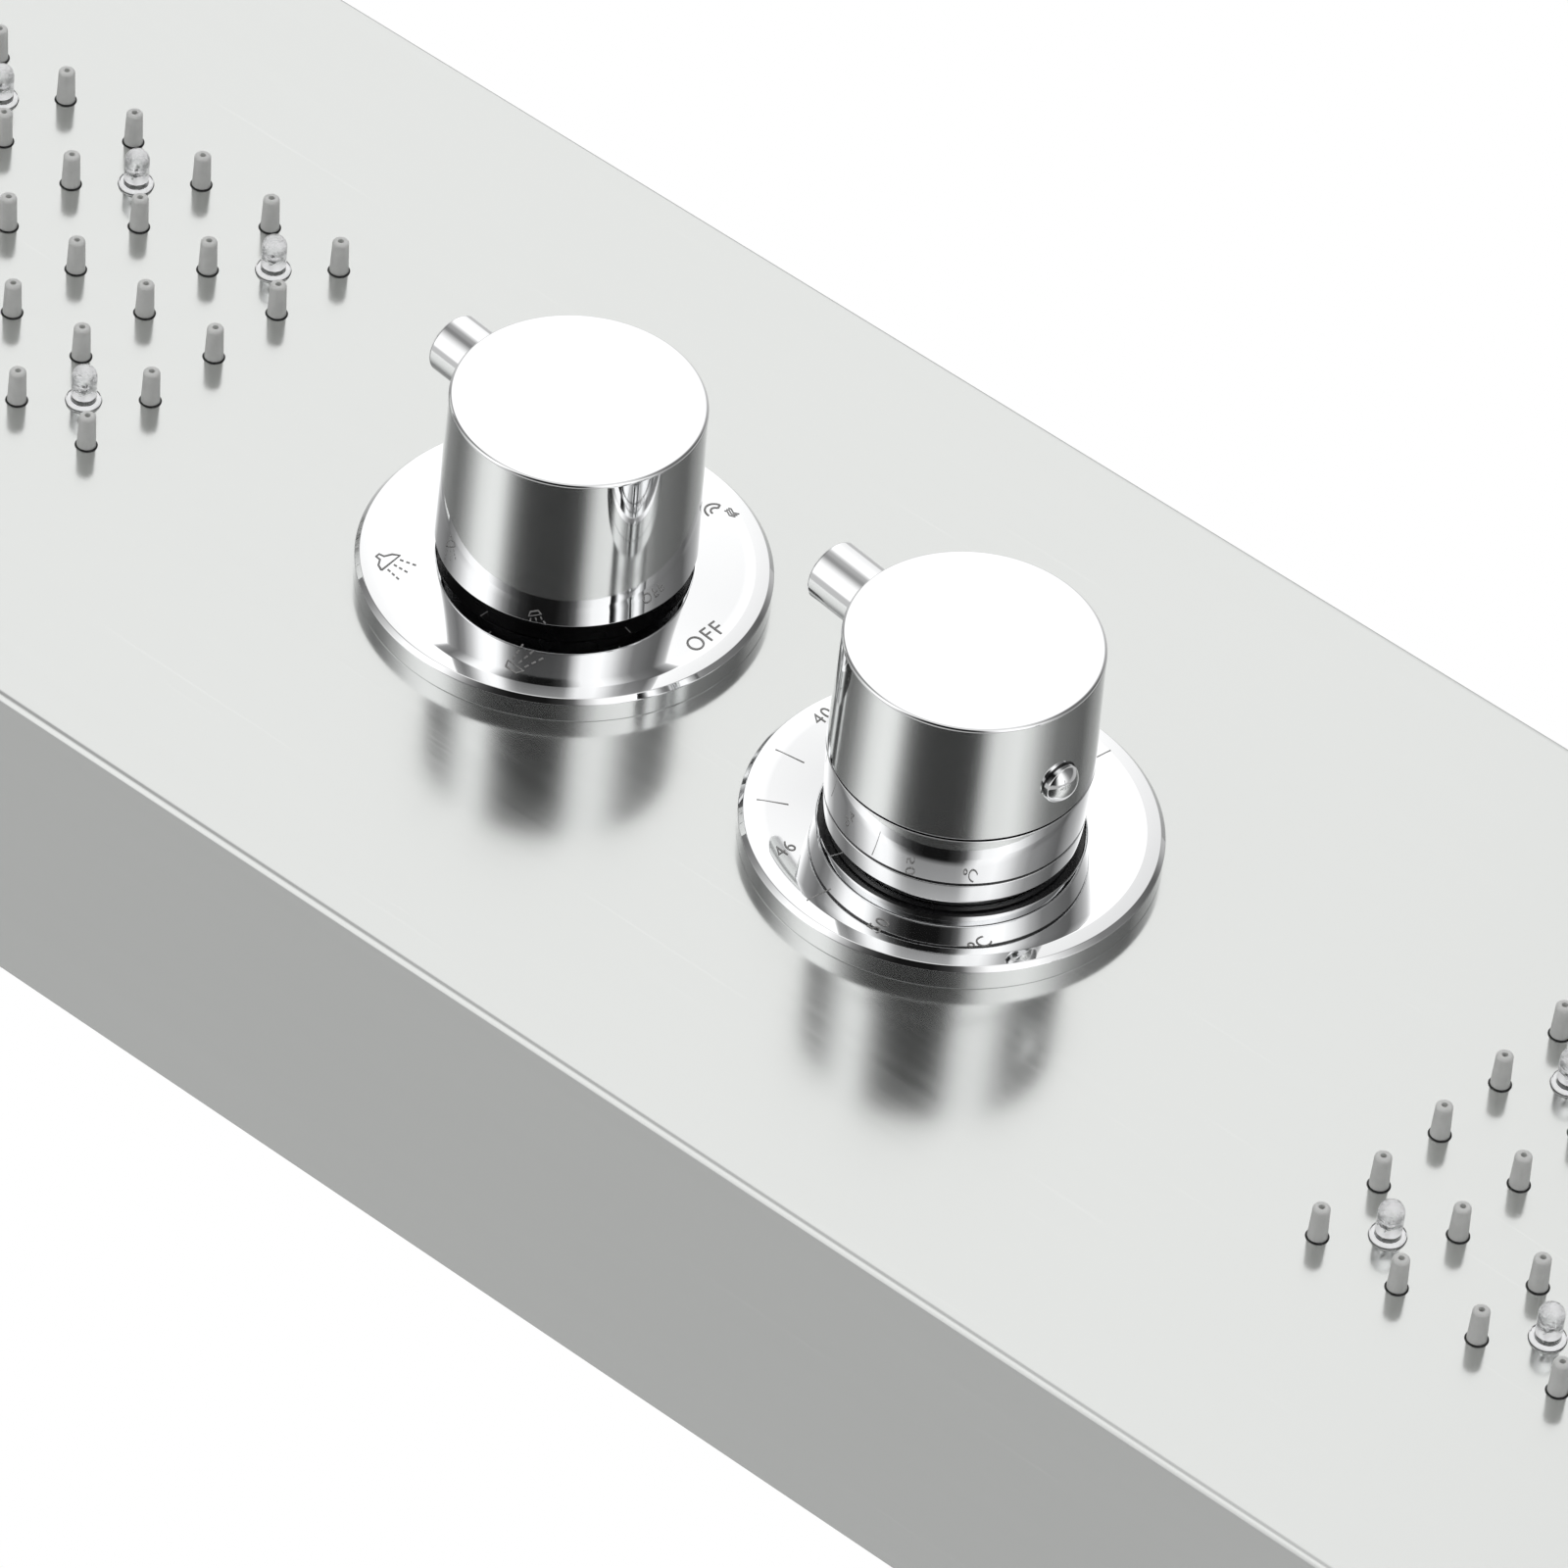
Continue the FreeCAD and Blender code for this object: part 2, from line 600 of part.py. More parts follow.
def wall_bracket(middle):
    """A hook plate that is screwed to the wall."""
    half = BRACKET_WIDTH / 2
    top = middle + BRACKET_HEIGHT / 2
    plate = box((-half, half), (top - BRACKET_HEIGHT, top), (WALL, WALL + BRACKET_SHEET))
    shelf = box((-half, half), (top - BRACKET_SHEET, top), (WALL, WALL + HOOK_REACH))
    lip = box((-half, half), (top - BRACKET_SHEET, top + HOOK_HEIGHT),
              (WALL + HOOK_REACH - BRACKET_SHEET, WALL + HOOK_REACH))
    holes = [rod(BRACKET_SCREW_RADIUS, (side * BRACKET_SCREW_SPACING / 2, middle, WALL - PAST),
                 (side * BRACKET_SCREW_SPACING / 2, middle, WALL + BRACKET_SHEET + PAST))
             for side in (-1, 1)]
    return joined([plate, shelf, lip]).cut(holes)


def cross_bar(middle):
    """The rail welded across the casing, hooked over a wall bracket's lip."""
    rest = middle + BRACKET_HEIGHT / 2 + HOOK_HEIGHT
    behind_lip = WALL + HOOK_REACH - BRACKET_SHEET - HOOK_GAP
    front = WALL + HOOK_REACH + RAIL_REACH
    span = (-INNER_HALF, INNER_HALF)
    roof = box(span, (rest, rest + BRACKET_SHEET), (behind_lip - BRACKET_SHEET, front))
    hook = box(span, (rest - HOOK_OVERLAP, rest + BRACKET_SHEET), (behind_lip - BRACKET_SHEET, behind_lip))
    web = box(span, (rest + BRACKET_SHEET - RAIL_HEIGHT, rest + BRACKET_SHEET),
              (front - BRACKET_SHEET, front))
    return joined([roof, hook, web])


# ---- the parts both controls share ----
def cover_plate(x, y, hole):
    """The chrome plate on the casing, bevelled at its rim and recessed for its gasket."""
    return turned([
        (hole, 0.0),
        (GASKET_INNER - SLIP, 0.0),
        (GASKET_INNER - SLIP, GASKET_THICKNESS),
        (GASKET_OUTER + SLIP, GASKET_THICKNESS),
        (GASKET_OUTER + SLIP, 0.0),
        (PLATE_RADIUS, 0.0),
        (PLATE_RADIUS, PLATE_THICKNESS - PLATE_BEVEL),
        (PLATE_RADIUS - PLATE_BEVEL, PLATE_THICKNESS),
        (hole, PLATE_THICKNESS),
    ], x, y)


def cover_gasket(x, y):
    """The flat rubber ring in the plate's recess."""
    return ring(GASKET_OUTER, GASKET_INNER, 0.0, GASKET_THICKNESS, x, y)


def panel_nut(x, y):
    """The ring nut that clamps the casing against the valve's flange."""
    return ring(PANEL_NUT_RADIUS, VALVE_NECK_RADIUS + FIT, 0.0, PANEL_NUT_THICKNESS, x, y)


def collar(x, y, hole):
    """The black ring in the plate's hole, with a neck that covers the cartridge under the knob."""
    low = PANEL_NUT_THICKNESS
    inner = COLLAR_NECK_RADIUS - COLLAR_WALL
    nose = CARTRIDGE_NOSE_RADIUS + SLIP
    return turned([
        (inner, low),
        (hole - SLIP, low),
        (hole - SLIP, low + COLLAR_FLANGE),
        (COLLAR_NECK_RADIUS, low + COLLAR_FLANGE),
        (COLLAR_NECK_RADIUS, COLLAR_NECK_TOP),
        (nose, COLLAR_NECK_TOP),
        (nose, COLLAR_NECK_TOP - COLLAR_WALL),
        (inner, COLLAR_NECK_TOP - COLLAR_WALL),
    ], x, y)


def cartridge(x, y):
    """The valve insert, with a nose that guides the spindle."""
    bore = SPINDLE_RADIUS + FIT
    return turned([
        (0.0, -CARTRIDGE_DEPTH),
        (CARTRIDGE_RADIUS, -CARTRIDGE_DEPTH),
        (CARTRIDGE_RADIUS, CARTRIDGE_TOP),
        (CARTRIDGE_NOSE_RADIUS, CARTRIDGE_TOP),
        (CARTRIDGE_NOSE_RADIUS, CARTRIDGE_NOSE_TOP),
        (bore, CARTRIDGE_NOSE_TOP),
        (bore, -SPINDLE_DEPTH - END_GAP),
        (0.0, -SPINDLE_DEPTH - END_GAP),
    ], x, y)


def cartridge_nut(x, y):
    """The ring that holds the cartridge down in the valve."""
    return ring(CARTRIDGE_RADIUS, CARTRIDGE_NOSE_RADIUS + FIT, CARTRIDGE_TOP, CARTRIDGE_NUT_TOP, x, y)


def spindle(x, y, lever_height):
    """The round spindle from the cartridge up into the knob's hub."""
    top = lever_height + LEVER_SHANK_RADIUS + SPINDLE_ABOVE_SHANK
    return rod(SPINDLE_RADIUS, (x, y, -SPINDLE_DEPTH), (x, y, top))


def valve_blank(x, y):
    """A valve's round body with its flange behind the casing and its neck through it."""
    return joined([
        rod(VALVE_RADIUS, (x, y, -VALVE_DEPTH), (x, y, -SHEET)),
        rod(VALVE_FLANGE_RADIUS, (x, y, -SHEET - VALVE_FLANGE), (x, y, -SHEET)),
        rod(VALVE_NECK_RADIUS, (x, y, -SHEET), (x, y, VALVE_NECK_TOP)),
    ])


def valve_pocket(x, y):
    """The space for the cartridge and its nut."""
    return rod(CARTRIDGE_RADIUS + FIT, (x, y, -CARTRIDGE_DEPTH), (x, y, VALVE_NECK_TOP + PAST))


def knob_outline(bottom, top):
    """The outside of a knob, from its lower edge to the middle of its top."""
    slope = (KNOB_TOP_RADIUS - KNOB_RADIUS) / (top - bottom)
    shoulder = KNOB_TOP_RADIUS - slope * KNOB_EDGE_ROUND
    return [(KNOB_RADIUS, bottom), (shoulder, top - KNOB_EDGE_ROUND),
            rounded_corner(KNOB_TOP_RADIUS, top, KNOB_EDGE_ROUND), (0.0, top)]


def knob(x, y, bottom, top):
    """A hollow knob cap with its hub and the drilling for the lever's shank."""
    lever_height = top - LEVER_BELOW_TOP
    cavity = KNOB_TOP_RADIUS - KNOB_WALL
    bore = SPINDLE_RADIUS + FIT
    bore_top = lever_height + LEVER_SHANK_RADIUS + SPINDLE_ABOVE_SHANK + SPINDLE_END_GAP
    roof = top - KNOB_ROOF
    cap = turned(knob_outline(bottom, top) + [
        (0.0, bore_top),
        (bore, bore_top),
        (bore, HUB_BOTTOM),
        (HUB_RADIUS, HUB_BOTTOM),
        (HUB_RADIUS, roof),
        (cavity, roof),
        (cavity, bottom),
    ], x, y)
    drilling = rod(LEVER_SHANK_RADIUS + FIT, (x, y, lever_height), (x, y + KNOB_RADIUS + PAST, lever_height))
    return cap.cut(drilling)


def lever(x, y, bottom, top, end):
    """The lever pin, whose shank runs through the knob to the spindle."""
    height = top - LEVER_BELOW_TOP
    head = rod(LEVER_RADIUS, (x, y + KNOB_TOP_RADIUS / 2, height), (x, y + end, height))
    rim = [edge for edge in head.Edges if edge.BoundBox.YLength < TINY and edge.BoundBox.YMax > y + end - 1]
    head = head.makeFillet(LEVER_EDGE, rim)
    head = head.cut(turned(knob_outline(bottom, top) + [(0.0, bottom)], x, y))
    shank = rod(LEVER_SHANK_RADIUS, (x, y + SPINDLE_RADIUS + FIT, height),
                (x, y + KNOB_RADIUS + PAST, height))
    return joined([head, shank])


# ---- diverter ----
def diverter_body():
    """The brass diverter: inlet below, one outlet up, one to the left and two to the right."""
    y = DIVERTER_Y
    ends = {
        "inlet": ((0, y, MIXER_PIPE_LEVEL), (0, y - STUB_END, MIXER_PIPE_LEVEL)),
        "rain": ((0, y, RAIN_PIPE_LEVEL), (0, y + STUB_END, RAIN_PIPE_LEVEL)),
        "jets": ((0, y, PIPE_LEVEL), (-STUB_END + PIPE_RADIUS, y, PIPE_LEVEL)),
        "hand": ((0, y + OUTLET_SPREAD, PIPE_LEVEL), (STUB_END, y + OUTLET_SPREAD, PIPE_LEVEL)),
        "spout": ((0, y - OUTLET_SPREAD, PIPE_LEVEL), (STUB_END, y - OUTLET_SPREAD, PIPE_LEVEL)),
    }
    blank = joined([valve_blank(0, y)] + [rod(STUB_RADIUS, *pair) for pair in ends.values()])
    return blank.cut([valve_pocket(0, y)] + [rod(STUB_BORE, *pair) for pair in ends.values()])


# ---- thermostat ----
def mixer_body():
    """The brass mixer: hot arm left, cold arm right, threaded unions towards the wall."""
    x, y = THERMOSTAT_OFFSET, THERMOSTAT_Y
    union_end = WALL + SUPPLY_STUB_GAP
    solids, bores = [valve_blank(x, y)], [valve_pocket(x, y)]
    for side in (-1, 1):
        corner = (side * SUPPLY_SPACING / 2, y, SUPPLY_ARM_LEVEL)
        mouth = (side * SUPPLY_SPACING / 2, y, union_end)
        solids.append(rod(SUPPLY_ARM_RADIUS, (x, y, SUPPLY_ARM_LEVEL), corner))
        solids.append(Part.makeSphere(SUPPLY_ARM_RADIUS, V(*corner)))
        shoulder = (corner[0], y, union_end + SUPPLY_THREAD_LENGTH)
        solids.append(rod(SUPPLY_SHOULDER_RADIUS, corner, shoulder))
        solids.append(rod(THREAD_RADIUS, corner, mouth))
        bores.append(rod(STUB_BORE, (x + side * (CARTRIDGE_RADIUS - PAST), y, SUPPLY_ARM_LEVEL), corner))
        bores.append(rod(SUPPLY_BORE, corner, (corner[0], y, union_end - PAST)))
    outlet = ((0, y, MIXER_PIPE_LEVEL), (0, y + STUB_END, MIXER_PIPE_LEVEL))
    solids.append(rod(STUB_RADIUS, *outlet))
    bores.append(rod(STUB_BORE, *outlet))
    return joined(solids).cut(bores)


def in_both_unions(radius, start, length):
    """A disc or cylinder in each supply union, from this far inside its mouth."""
    outer = WALL + SUPPLY_STUB_GAP + start
    return [rod(radius, (side * SUPPLY_SPACING / 2, THERMOSTAT_Y, outer),
                (side * SUPPLY_SPACING / 2, THERMOSTAT_Y, outer + length)) for side in (-1, 1)]


def thermostat_sleeve():
    """The lower sleeve, held in the cap by a spigot, with a groove and a neck at its foot."""
    x, y = THERMOSTAT_OFFSET, THERMOSTAT_Y
    top = THERMOSTAT_KNOB_BOTTOM - SLEEVE_JOINT
    spigot = KNOB_TOP_RADIUS - KNOB_WALL - FIT
    slope = (KNOB_RADIUS - SLEEVE_BOTTOM_RADIUS) / (top - SLEEVE_BOTTOM)
    low = SLEEVE_BOTTOM + SLEEVE_GROOVE_ABOVE_BOTTOM
    high = low + SLEEVE_GROOVE_WIDTH
    at_low = SLEEVE_BOTTOM_RADIUS + slope * (low - SLEEVE_BOTTOM)
    at_high = SLEEVE_BOTTOM_RADIUS + slope * (high - SLEEVE_BOTTOM)
    inner = spigot - SLEEVE_SPIGOT_WALL
    return turned([
        (inner, SLEEVE_NECK_BOTTOM),
        (SLEEVE_NECK_RADIUS, SLEEVE_NECK_BOTTOM),
        (SLEEVE_NECK_RADIUS, SLEEVE_BOTTOM),
        (SLEEVE_BOTTOM_RADIUS, SLEEVE_BOTTOM),
        (at_low, low),
        (at_low - SLEEVE_GROOVE_DEPTH, low),
        (at_low - SLEEVE_GROOVE_DEPTH, high),
        (at_high, high),
        (KNOB_RADIUS, top),
        (spigot, top),
        (spigot, THERMOSTAT_KNOB_BOTTOM + SLEEVE_SPIGOT),
        (inner, THERMOSTAT_KNOB_BOTTOM + SLEEVE_SPIGOT),
    ], x, y)


BUTTON_FLANGE_OUT = KNOB_TOP_RADIUS - KNOB_WALL - BUTTON_FLANGE_GAP
BUTTON_FLANGE_IN = BUTTON_FLANGE_OUT - BUTTON_FLANGE


def thermostat_knob():
    """The cap, with the button's hole and the post that carries the button's spring."""
    x, y = THERMOSTAT_OFFSET, THERMOSTAT_Y
    cap = knob(x, y, THERMOSTAT_KNOB_BOTTOM, THERMOSTAT_KNOB_TOP)
    post = rod(BUTTON_POST_RADIUS, (x, y - SPINDLE_RADIUS - FIT - PAST, BUTTON_ABOVE_FACE),
               (x, y - BUTTON_POST_END, BUTTON_ABOVE_FACE))
    hole = rod(BUTTON_RADIUS + FIT, (x, y - BUTTON_FLANGE_IN, BUTTON_ABOVE_FACE),
               (x, y - KNOB_RADIUS - PAST, BUTTON_ABOVE_FACE))
    return joined([cap, post]).cut(hole)


def stop_button():
    """The round button, drawn pointing down: dome, body, inner flange and stem."""
    x, y = THERMOSTAT_OFFSET, THERMOSTAT_Y
    rim = KNOB_RADIUS + BUTTON_RIM
    stem_end = BUTTON_POST_END + BUTTON_TRAVEL + END_GAP
    sphere = (BUTTON_RADIUS ** 2 + BUTTON_DOME ** 2) / (2 * BUTTON_DOME)
    half_angle = math.asin(BUTTON_RADIUS / sphere) / 2
    middle = (sphere * math.sin(half_angle), rim + BUTTON_DOME - sphere * (1 - math.cos(half_angle)))
    button = turned([
        (0.0, stem_end),
        (BUTTON_STEM_RADIUS, stem_end),
        (BUTTON_STEM_RADIUS, BUTTON_FLANGE_IN),
        (BUTTON_FLANGE_RADIUS, BUTTON_FLANGE_IN),
        (BUTTON_FLANGE_RADIUS, BUTTON_FLANGE_OUT),
        (BUTTON_RADIUS, BUTTON_FLANGE_OUT),
        (BUTTON_RADIUS, rim),
        (middle, (0.0, rim + BUTTON_DOME)),
    ])
    button.rotate(V(0, 0, 0), V(1, 0, 0), 90)
    button.translate(V(x, y, BUTTON_ABOVE_FACE))
    return button


def stop_button_spring():
    """The coil between the post and the button's flange, drawn pointing down."""
    low = BUTTON_POST_END + SPRING_WIRE_RADIUS
    high = BUTTON_FLANGE_IN - SPRING_WIRE_RADIUS
    helix = Part.makeHelix((high - low) / SPRING_TURNS, high - low, SPRING_RADIUS)
    section = Part.Wire(Part.makeCircle(SPRING_WIRE_RADIUS, V(SPRING_RADIUS, 0, 0), V(0, 1, 0)))
    coil = Part.Wire(helix.Edges).makePipeShell([section], True, True)
    coil.translate(V(0, 0, low))
    coil.rotate(V(0, 0, 0), V(1, 0, 0), 90)
    coil.translate(V(THERMOSTAT_OFFSET, THERMOSTAT_Y, BUTTON_ABOVE_FACE))
    return coil


# ---- pipes ----
def box_port_ends():
    """Where the jet pipe meets the two water boxes: (upper, lower) heights."""
    half_y = box_half_size(*BODY_JETS)[1]
    return UPPER_JETS_Y - half_y - PORT_LENGTH, LOWER_JETS_Y + half_y + PORT_LENGTH


def jet_pipe():
    """The tee pipe from the diverter to both water boxes."""
    upper, lower = box_port_ends()
    run = ((JET_PIPE_OFFSET, lower, PIPE_LEVEL), (JET_PIPE_OFFSET, upper, PIPE_LEVEL))
    branch = ((JET_PIPE_OFFSET, DIVERTER_Y, PIPE_LEVEL), (-STUB_END + PIPE_RADIUS, DIVERTER_Y, PIPE_LEVEL))
    solid = joined([rod(PIPE_RADIUS, *run), rod(PIPE_RADIUS, *branch)])
    return solid.cut([rod(PIPE_BORE, *run), rod(PIPE_BORE, *branch)])


def spout_pipe():
    """From the diverter's lower right outlet down to the spout's elbow."""
    start = DIVERTER_Y - OUTLET_SPREAD
    return pipe([(STUB_END, start, PIPE_LEVEL), (SPOUT_PIPE_OFFSET, start, PIPE_LEVEL),
                 (SPOUT_PIPE_OFFSET, SPOUT_Y, PIPE_LEVEL), (ELBOW_RADIUS + PORT_LENGTH, SPOUT_Y, PIPE_LEVEL)],
                PIPE_BEND)


HAND_PIPE_END = BOTTOM + SHEET + OUTLET_FLANGE + OUTLET_TAIL


def hand_shower_pipe():
    """From the diverter's upper right outlet down to the outlet in the lower lid."""
    start = DIVERTER_Y + OUTLET_SPREAD
    return pipe([(STUB_END, start, PIPE_LEVEL), (HAND_PIPE_OFFSET, start, PIPE_LEVEL),
                 (HAND_PIPE_OFFSET, HAND_PIPE_END, PIPE_LEVEL)], PIPE_BEND)


def rain_pipe():
    """From the diverter's top outlet up and forward into the rain head."""
    return pipe([(0, DIVERTER_Y + STUB_END, RAIN_PIPE_LEVEL), (0, RAIN_FEED_Y, RAIN_PIPE_LEVEL),
                 (0, RAIN_FEED_Y, RAIN_BOX_BACK - RAIN_PORT_LENGTH)], RAIN_PIPE_BEND)


def mixer_pipe():
    """The short pipe from the mixer up to the diverter."""
    return pipe([(0, THERMOSTAT_Y + STUB_END, MIXER_PIPE_LEVEL),
                 (0, DIVERTER_Y - STUB_END, MIXER_PIPE_LEVEL)], PIPE_BEND)


def pipe_nut(x, y, z, direction):
    """A union nut on a pipe, from its end at this point along the direction."""
    end = tuple(a + b * PIPE_NUT_LENGTH for a, b in zip((x, y, z), direction))
    return hexagon(PIPE_NUT_RADIUS, (x, y, z), end).cut(rod(PIPE_RADIUS + SLIP, (x, y, z), end))


def pipe_nuts():
    """The union nuts at the pipe ends."""
    up, down, right = (0, 1, 0), (0, -1, 0), (1, 0, 0)
    upper, lower = box_port_ends()
    return group([
        pipe_nut(0, THERMOSTAT_Y + STUB_END, MIXER_PIPE_LEVEL, up),
        pipe_nut(0, DIVERTER_Y - STUB_END, MIXER_PIPE_LEVEL, down),
        pipe_nut(0, DIVERTER_Y + STUB_END, RAIN_PIPE_LEVEL, up),
        pipe_nut(STUB_END, DIVERTER_Y + OUTLET_SPREAD, PIPE_LEVEL, right),
        pipe_nut(STUB_END, DIVERTER_Y - OUTLET_SPREAD, PIPE_LEVEL, right),
        pipe_nut(JET_PIPE_OFFSET, upper, PIPE_LEVEL, down),
        pipe_nut(JET_PIPE_OFFSET, lower, PIPE_LEVEL, up),
        pipe_nut(ELBOW_RADIUS + PORT_LENGTH, SPOUT_Y, PIPE_LEVEL, right),
        pipe_nut(HAND_PIPE_OFFSET, HAND_PIPE_END, PIPE_LEVEL, up),
    ])


# ---- rain head ----
RAIN_BOX_BACK = RAIN_HEAD_LENGTH / 2 - box_half_size(*RAIN_JETS)[1]


def rain_head_shell():
    """The rain head's cover: roof, sides and ends, with threaded bosses for its screws."""
    half = PANEL_WIDTH / 2
    base = TOP - RAIN_HEAD_HEIGHT
    shell = box((-half, half), (base, TOP), (0.0, RAIN_HEAD_LENGTH))
    hollow = box((-INNER_HALF, INNER_HALF), (base - PAST, TOP - SHEET), (SHEET, RAIN_HEAD_LENGTH - SHEET))
    bosses = [rod(RAIN_BOSS_RADIUS, (x, y, SHEET / 2), (x, y, SHEET + RAIN_BOSS_LENGTH))
              for x, y in rain_screw_places()]
    threads = [rod(RAIN_SCREW_RADIUS + FIT, (x, y, -PAST), (x, y, SHEET + RAIN_BOSS_LENGTH + PAST))
               for x, y in rain_screw_places()]
    feed = rod(PIPE_RADIUS + SLIP, (0, RAIN_FEED_Y, -PAST), (0, RAIN_FEED_Y, SHEET + PAST))
    return joined([shell.cut(hollow)] + bosses).cut(threads + [feed])


def rain_head_plate():
    """The perforated plate that closes the rain head from below."""
    half_length = RAIN_HEAD_LENGTH / 2 - SHEET
    plate = box((-INNER_HALF, INNER_HALF), (-half_length, half_length), (-SHEET, 0.0))
    return to_rain_head([plate.cut(sheet_holes(*RAIN_JETS, []))])[0]


def rain_head_screws():
    """The screws from inside the column into the rain head."""
    screws = []
    for x, y in rain_screw_places():
        head = hexagon(RAIN_SCREW_HEAD_RADIUS, (x, y, -SHEET - RAIN_SCREW_HEAD), (x, y, -SHEET))
        shank = rod(RAIN_SCREW_RADIUS, (x, y, -SHEET - PAST), (x, y, SHEET + RAIN_BOSS_LENGTH))
        screws.append(joined([head, shank]))
    return group(screws)


def rain_port():
    """The rain box's feed stub, as a (start, end) pair in the group's own frame."""
    half_y = box_half_size(*RAIN_JETS)[1]
    level = -SHEET - MAT_THICKNESS - BOX_DEPTH / 2
    return (0, -half_y + BOX_WALL + PAST, level), (0, -half_y - RAIN_PORT_LENGTH, level)


# ---- spout, hand-shower outlet and lamp supply ----
def tub_spout():
    """The round spout with its turned-down mouth and the nipple through the casing."""
    elbow = (0, SPOUT_Y, SPOUT_REACH)
    mouth = (0, SPOUT_Y - SPOUT_DROP, SPOUT_REACH)
    nipple_end = (0, SPOUT_Y, SPOUT_NIPPLE_END)
    solid = joined([
        rod(SPOUT_RADIUS, (0, SPOUT_Y, 0), elbow),
        Part.makeSphere(SPOUT_RADIUS, V(*elbow)),
        rod(SPOUT_RADIUS, elbow, mouth),
        rod(SPOUT_NIPPLE_RADIUS, nipple_end, (0, SPOUT_Y, PAST)),
    ])
    seat_top = (0, SPOUT_Y - SPOUT_DROP + AERATOR_LENGTH, SPOUT_REACH)
    bores = [rod(NIPPLE_BORE, nipple_end, elbow), Part.makeSphere(SPOUT_BORE, V(*elbow)),
             rod(SPOUT_BORE, elbow, mouth), rod(AERATOR_RADIUS + FIT, seat_top, mouth)]
    return solid.cut(bores)


def spout_aerator():
    """The aerator in the spout's mouth."""
    low = (0, SPOUT_Y - SPOUT_DROP, SPOUT_REACH)
    high = (0, SPOUT_Y - SPOUT_DROP + AERATOR_LENGTH, SPOUT_REACH)
    return rod(AERATOR_RADIUS, low, high).cut(rod(AERATOR_BORE, low, high))


def spout_flange():
    """The round cover plate where the spout meets the casing."""
    plate = ring(SPOUT_FLANGE_RADIUS, SPOUT_RADIUS + SLIP, 0.0, SPOUT_FLANGE, 0, SPOUT_Y)
    rim = [edge for edge in plate.Edges if abs(edge.BoundBox.ZMin - SPOUT_FLANGE) < 1e-6
           and edge.BoundBox.XLength > 2 * SPOUT_FLANGE_RADIUS - 1]
    return plate.makeChamfer(PLATE_BEVEL, rim)


def spout_nut():
    """The nut that clamps the spout to the casing."""
    low = -SHEET - SPOUT_NUT
    return hexagon(SPOUT_NUT_RADIUS, (0, SPOUT_Y, low), (0, SPOUT_Y, -SHEET)).cut(
        rod(SPOUT_NIPPLE_RADIUS + FIT, (0, SPOUT_Y, low - PAST), (0, SPOUT_Y, 0)))


def spout_elbow():
    """The brass elbow between the spout's nipple and its pipe."""
    port = ((0, SPOUT_Y, PIPE_LEVEL), (ELBOW_RADIUS + PORT_LENGTH, SPOUT_Y, PIPE_LEVEL))
    body = joined([rod(ELBOW_RADIUS, (0, SPOUT_Y, ELBOW_BACK), (0, SPOUT_Y, ELBOW_FRONT)),
                   rod(STUB_RADIUS, *port)])
    socket = rod(SPOUT_NIPPLE_RADIUS + FIT, (0, SPOUT_Y, SPOUT_NIPPLE_END - FIT),
                 (0, SPOUT_Y, ELBOW_FRONT + PAST))
    channel = rod(NIPPLE_BORE, (0, SPOUT_Y, ELBOW_BACK + BOX_WALL), (0, SPOUT_Y, ELBOW_FRONT))
    return body.cut([socket, channel, rod(STUB_BORE, *port)])


def hand_shower_outlet():
    """The threaded outlet through the lower lid, for a shower hose."""
    floor = BOTTOM + SHEET

    def at(y):
        return HAND_PIPE_OFFSET, y, PIPE_LEVEL

    solid = joined([
        rod(THREAD_RADIUS, at(BOTTOM - OUTLET_THREAD_LENGTH), at(BOTTOM)),
        rod(THREAD_RADIUS - OUTLET_RELIEF, at(BOTTOM), at(floor)),
        rod(OUTLET_FLANGE_RADIUS, at(floor), at(floor + OUTLET_FLANGE)),
        rod(STUB_RADIUS, at(floor), at(HAND_PIPE_END)),
    ])
    return solid.cut(rod(STUB_BORE, at(BOTTOM - OUTLET_THREAD_LENGTH - PAST), at(HAND_PIPE_END + PAST)))


def led_power_box():
    """The sealed supply for the lamps, with two cable glands."""
    width, height, depth = POWER_BOX_SIZE
    low = BOTTOM + POWER_BOX_ABOVE_BOTTOM
    body = box((-width / 2, width / 2), (low, low + height), (-SHEET - depth, -SHEET))
    level = -SHEET - depth / 2
    glands = [rod(GLAND_RADIUS, (side * GLAND_SPACING / 2, low + height - PAST, level),
                  (side * GLAND_SPACING / 2, low + height + GLAND_LENGTH, level)) for side in (-1, 1)]
    return joined([body] + glands)


# ---- the finished pieces ----
def body_jet_ports(way):
    """The feed stub of a body-jet water box, up (1) or down (-1) towards the diverter."""
    half_y = box_half_size(*BODY_JETS)[1]
    start = (JET_PIPE_OFFSET, way * (half_y - BOX_WALL - PAST), PIPE_LEVEL)
    return [(start, (JET_PIPE_OFFSET, way * (half_y + PORT_LENGTH), PIPE_LEVEL))]


def save(name, shape):
    """Turn a finished piece into the part's own frame and write it."""
    shape = shape.copy()
    shape.rotate(V(0, 0, 0), V(1, 0, 0), 90)
    shape.translate(V(0, -PANEL_DEPTH, 0))
    shape.exportStep(f"parts/{name}.step")


def save_casing():
    """The casing, its lids, seals, brackets and rails."""
    save("front_casing", front_casing())
    save("top_end_cap", end_cap(TOP, -1))
    save("bottom_end_cap", bottom_end_cap())
    save("seal_strips", seal_strips())
    for name, middle in (("upper", 0.0), ("lower", LOWER_BRACKET_Y)):
        save(f"{name}_wall_bracket", wall_bracket(middle))
        save(f"{name}_cross_bar", cross_bar(middle))


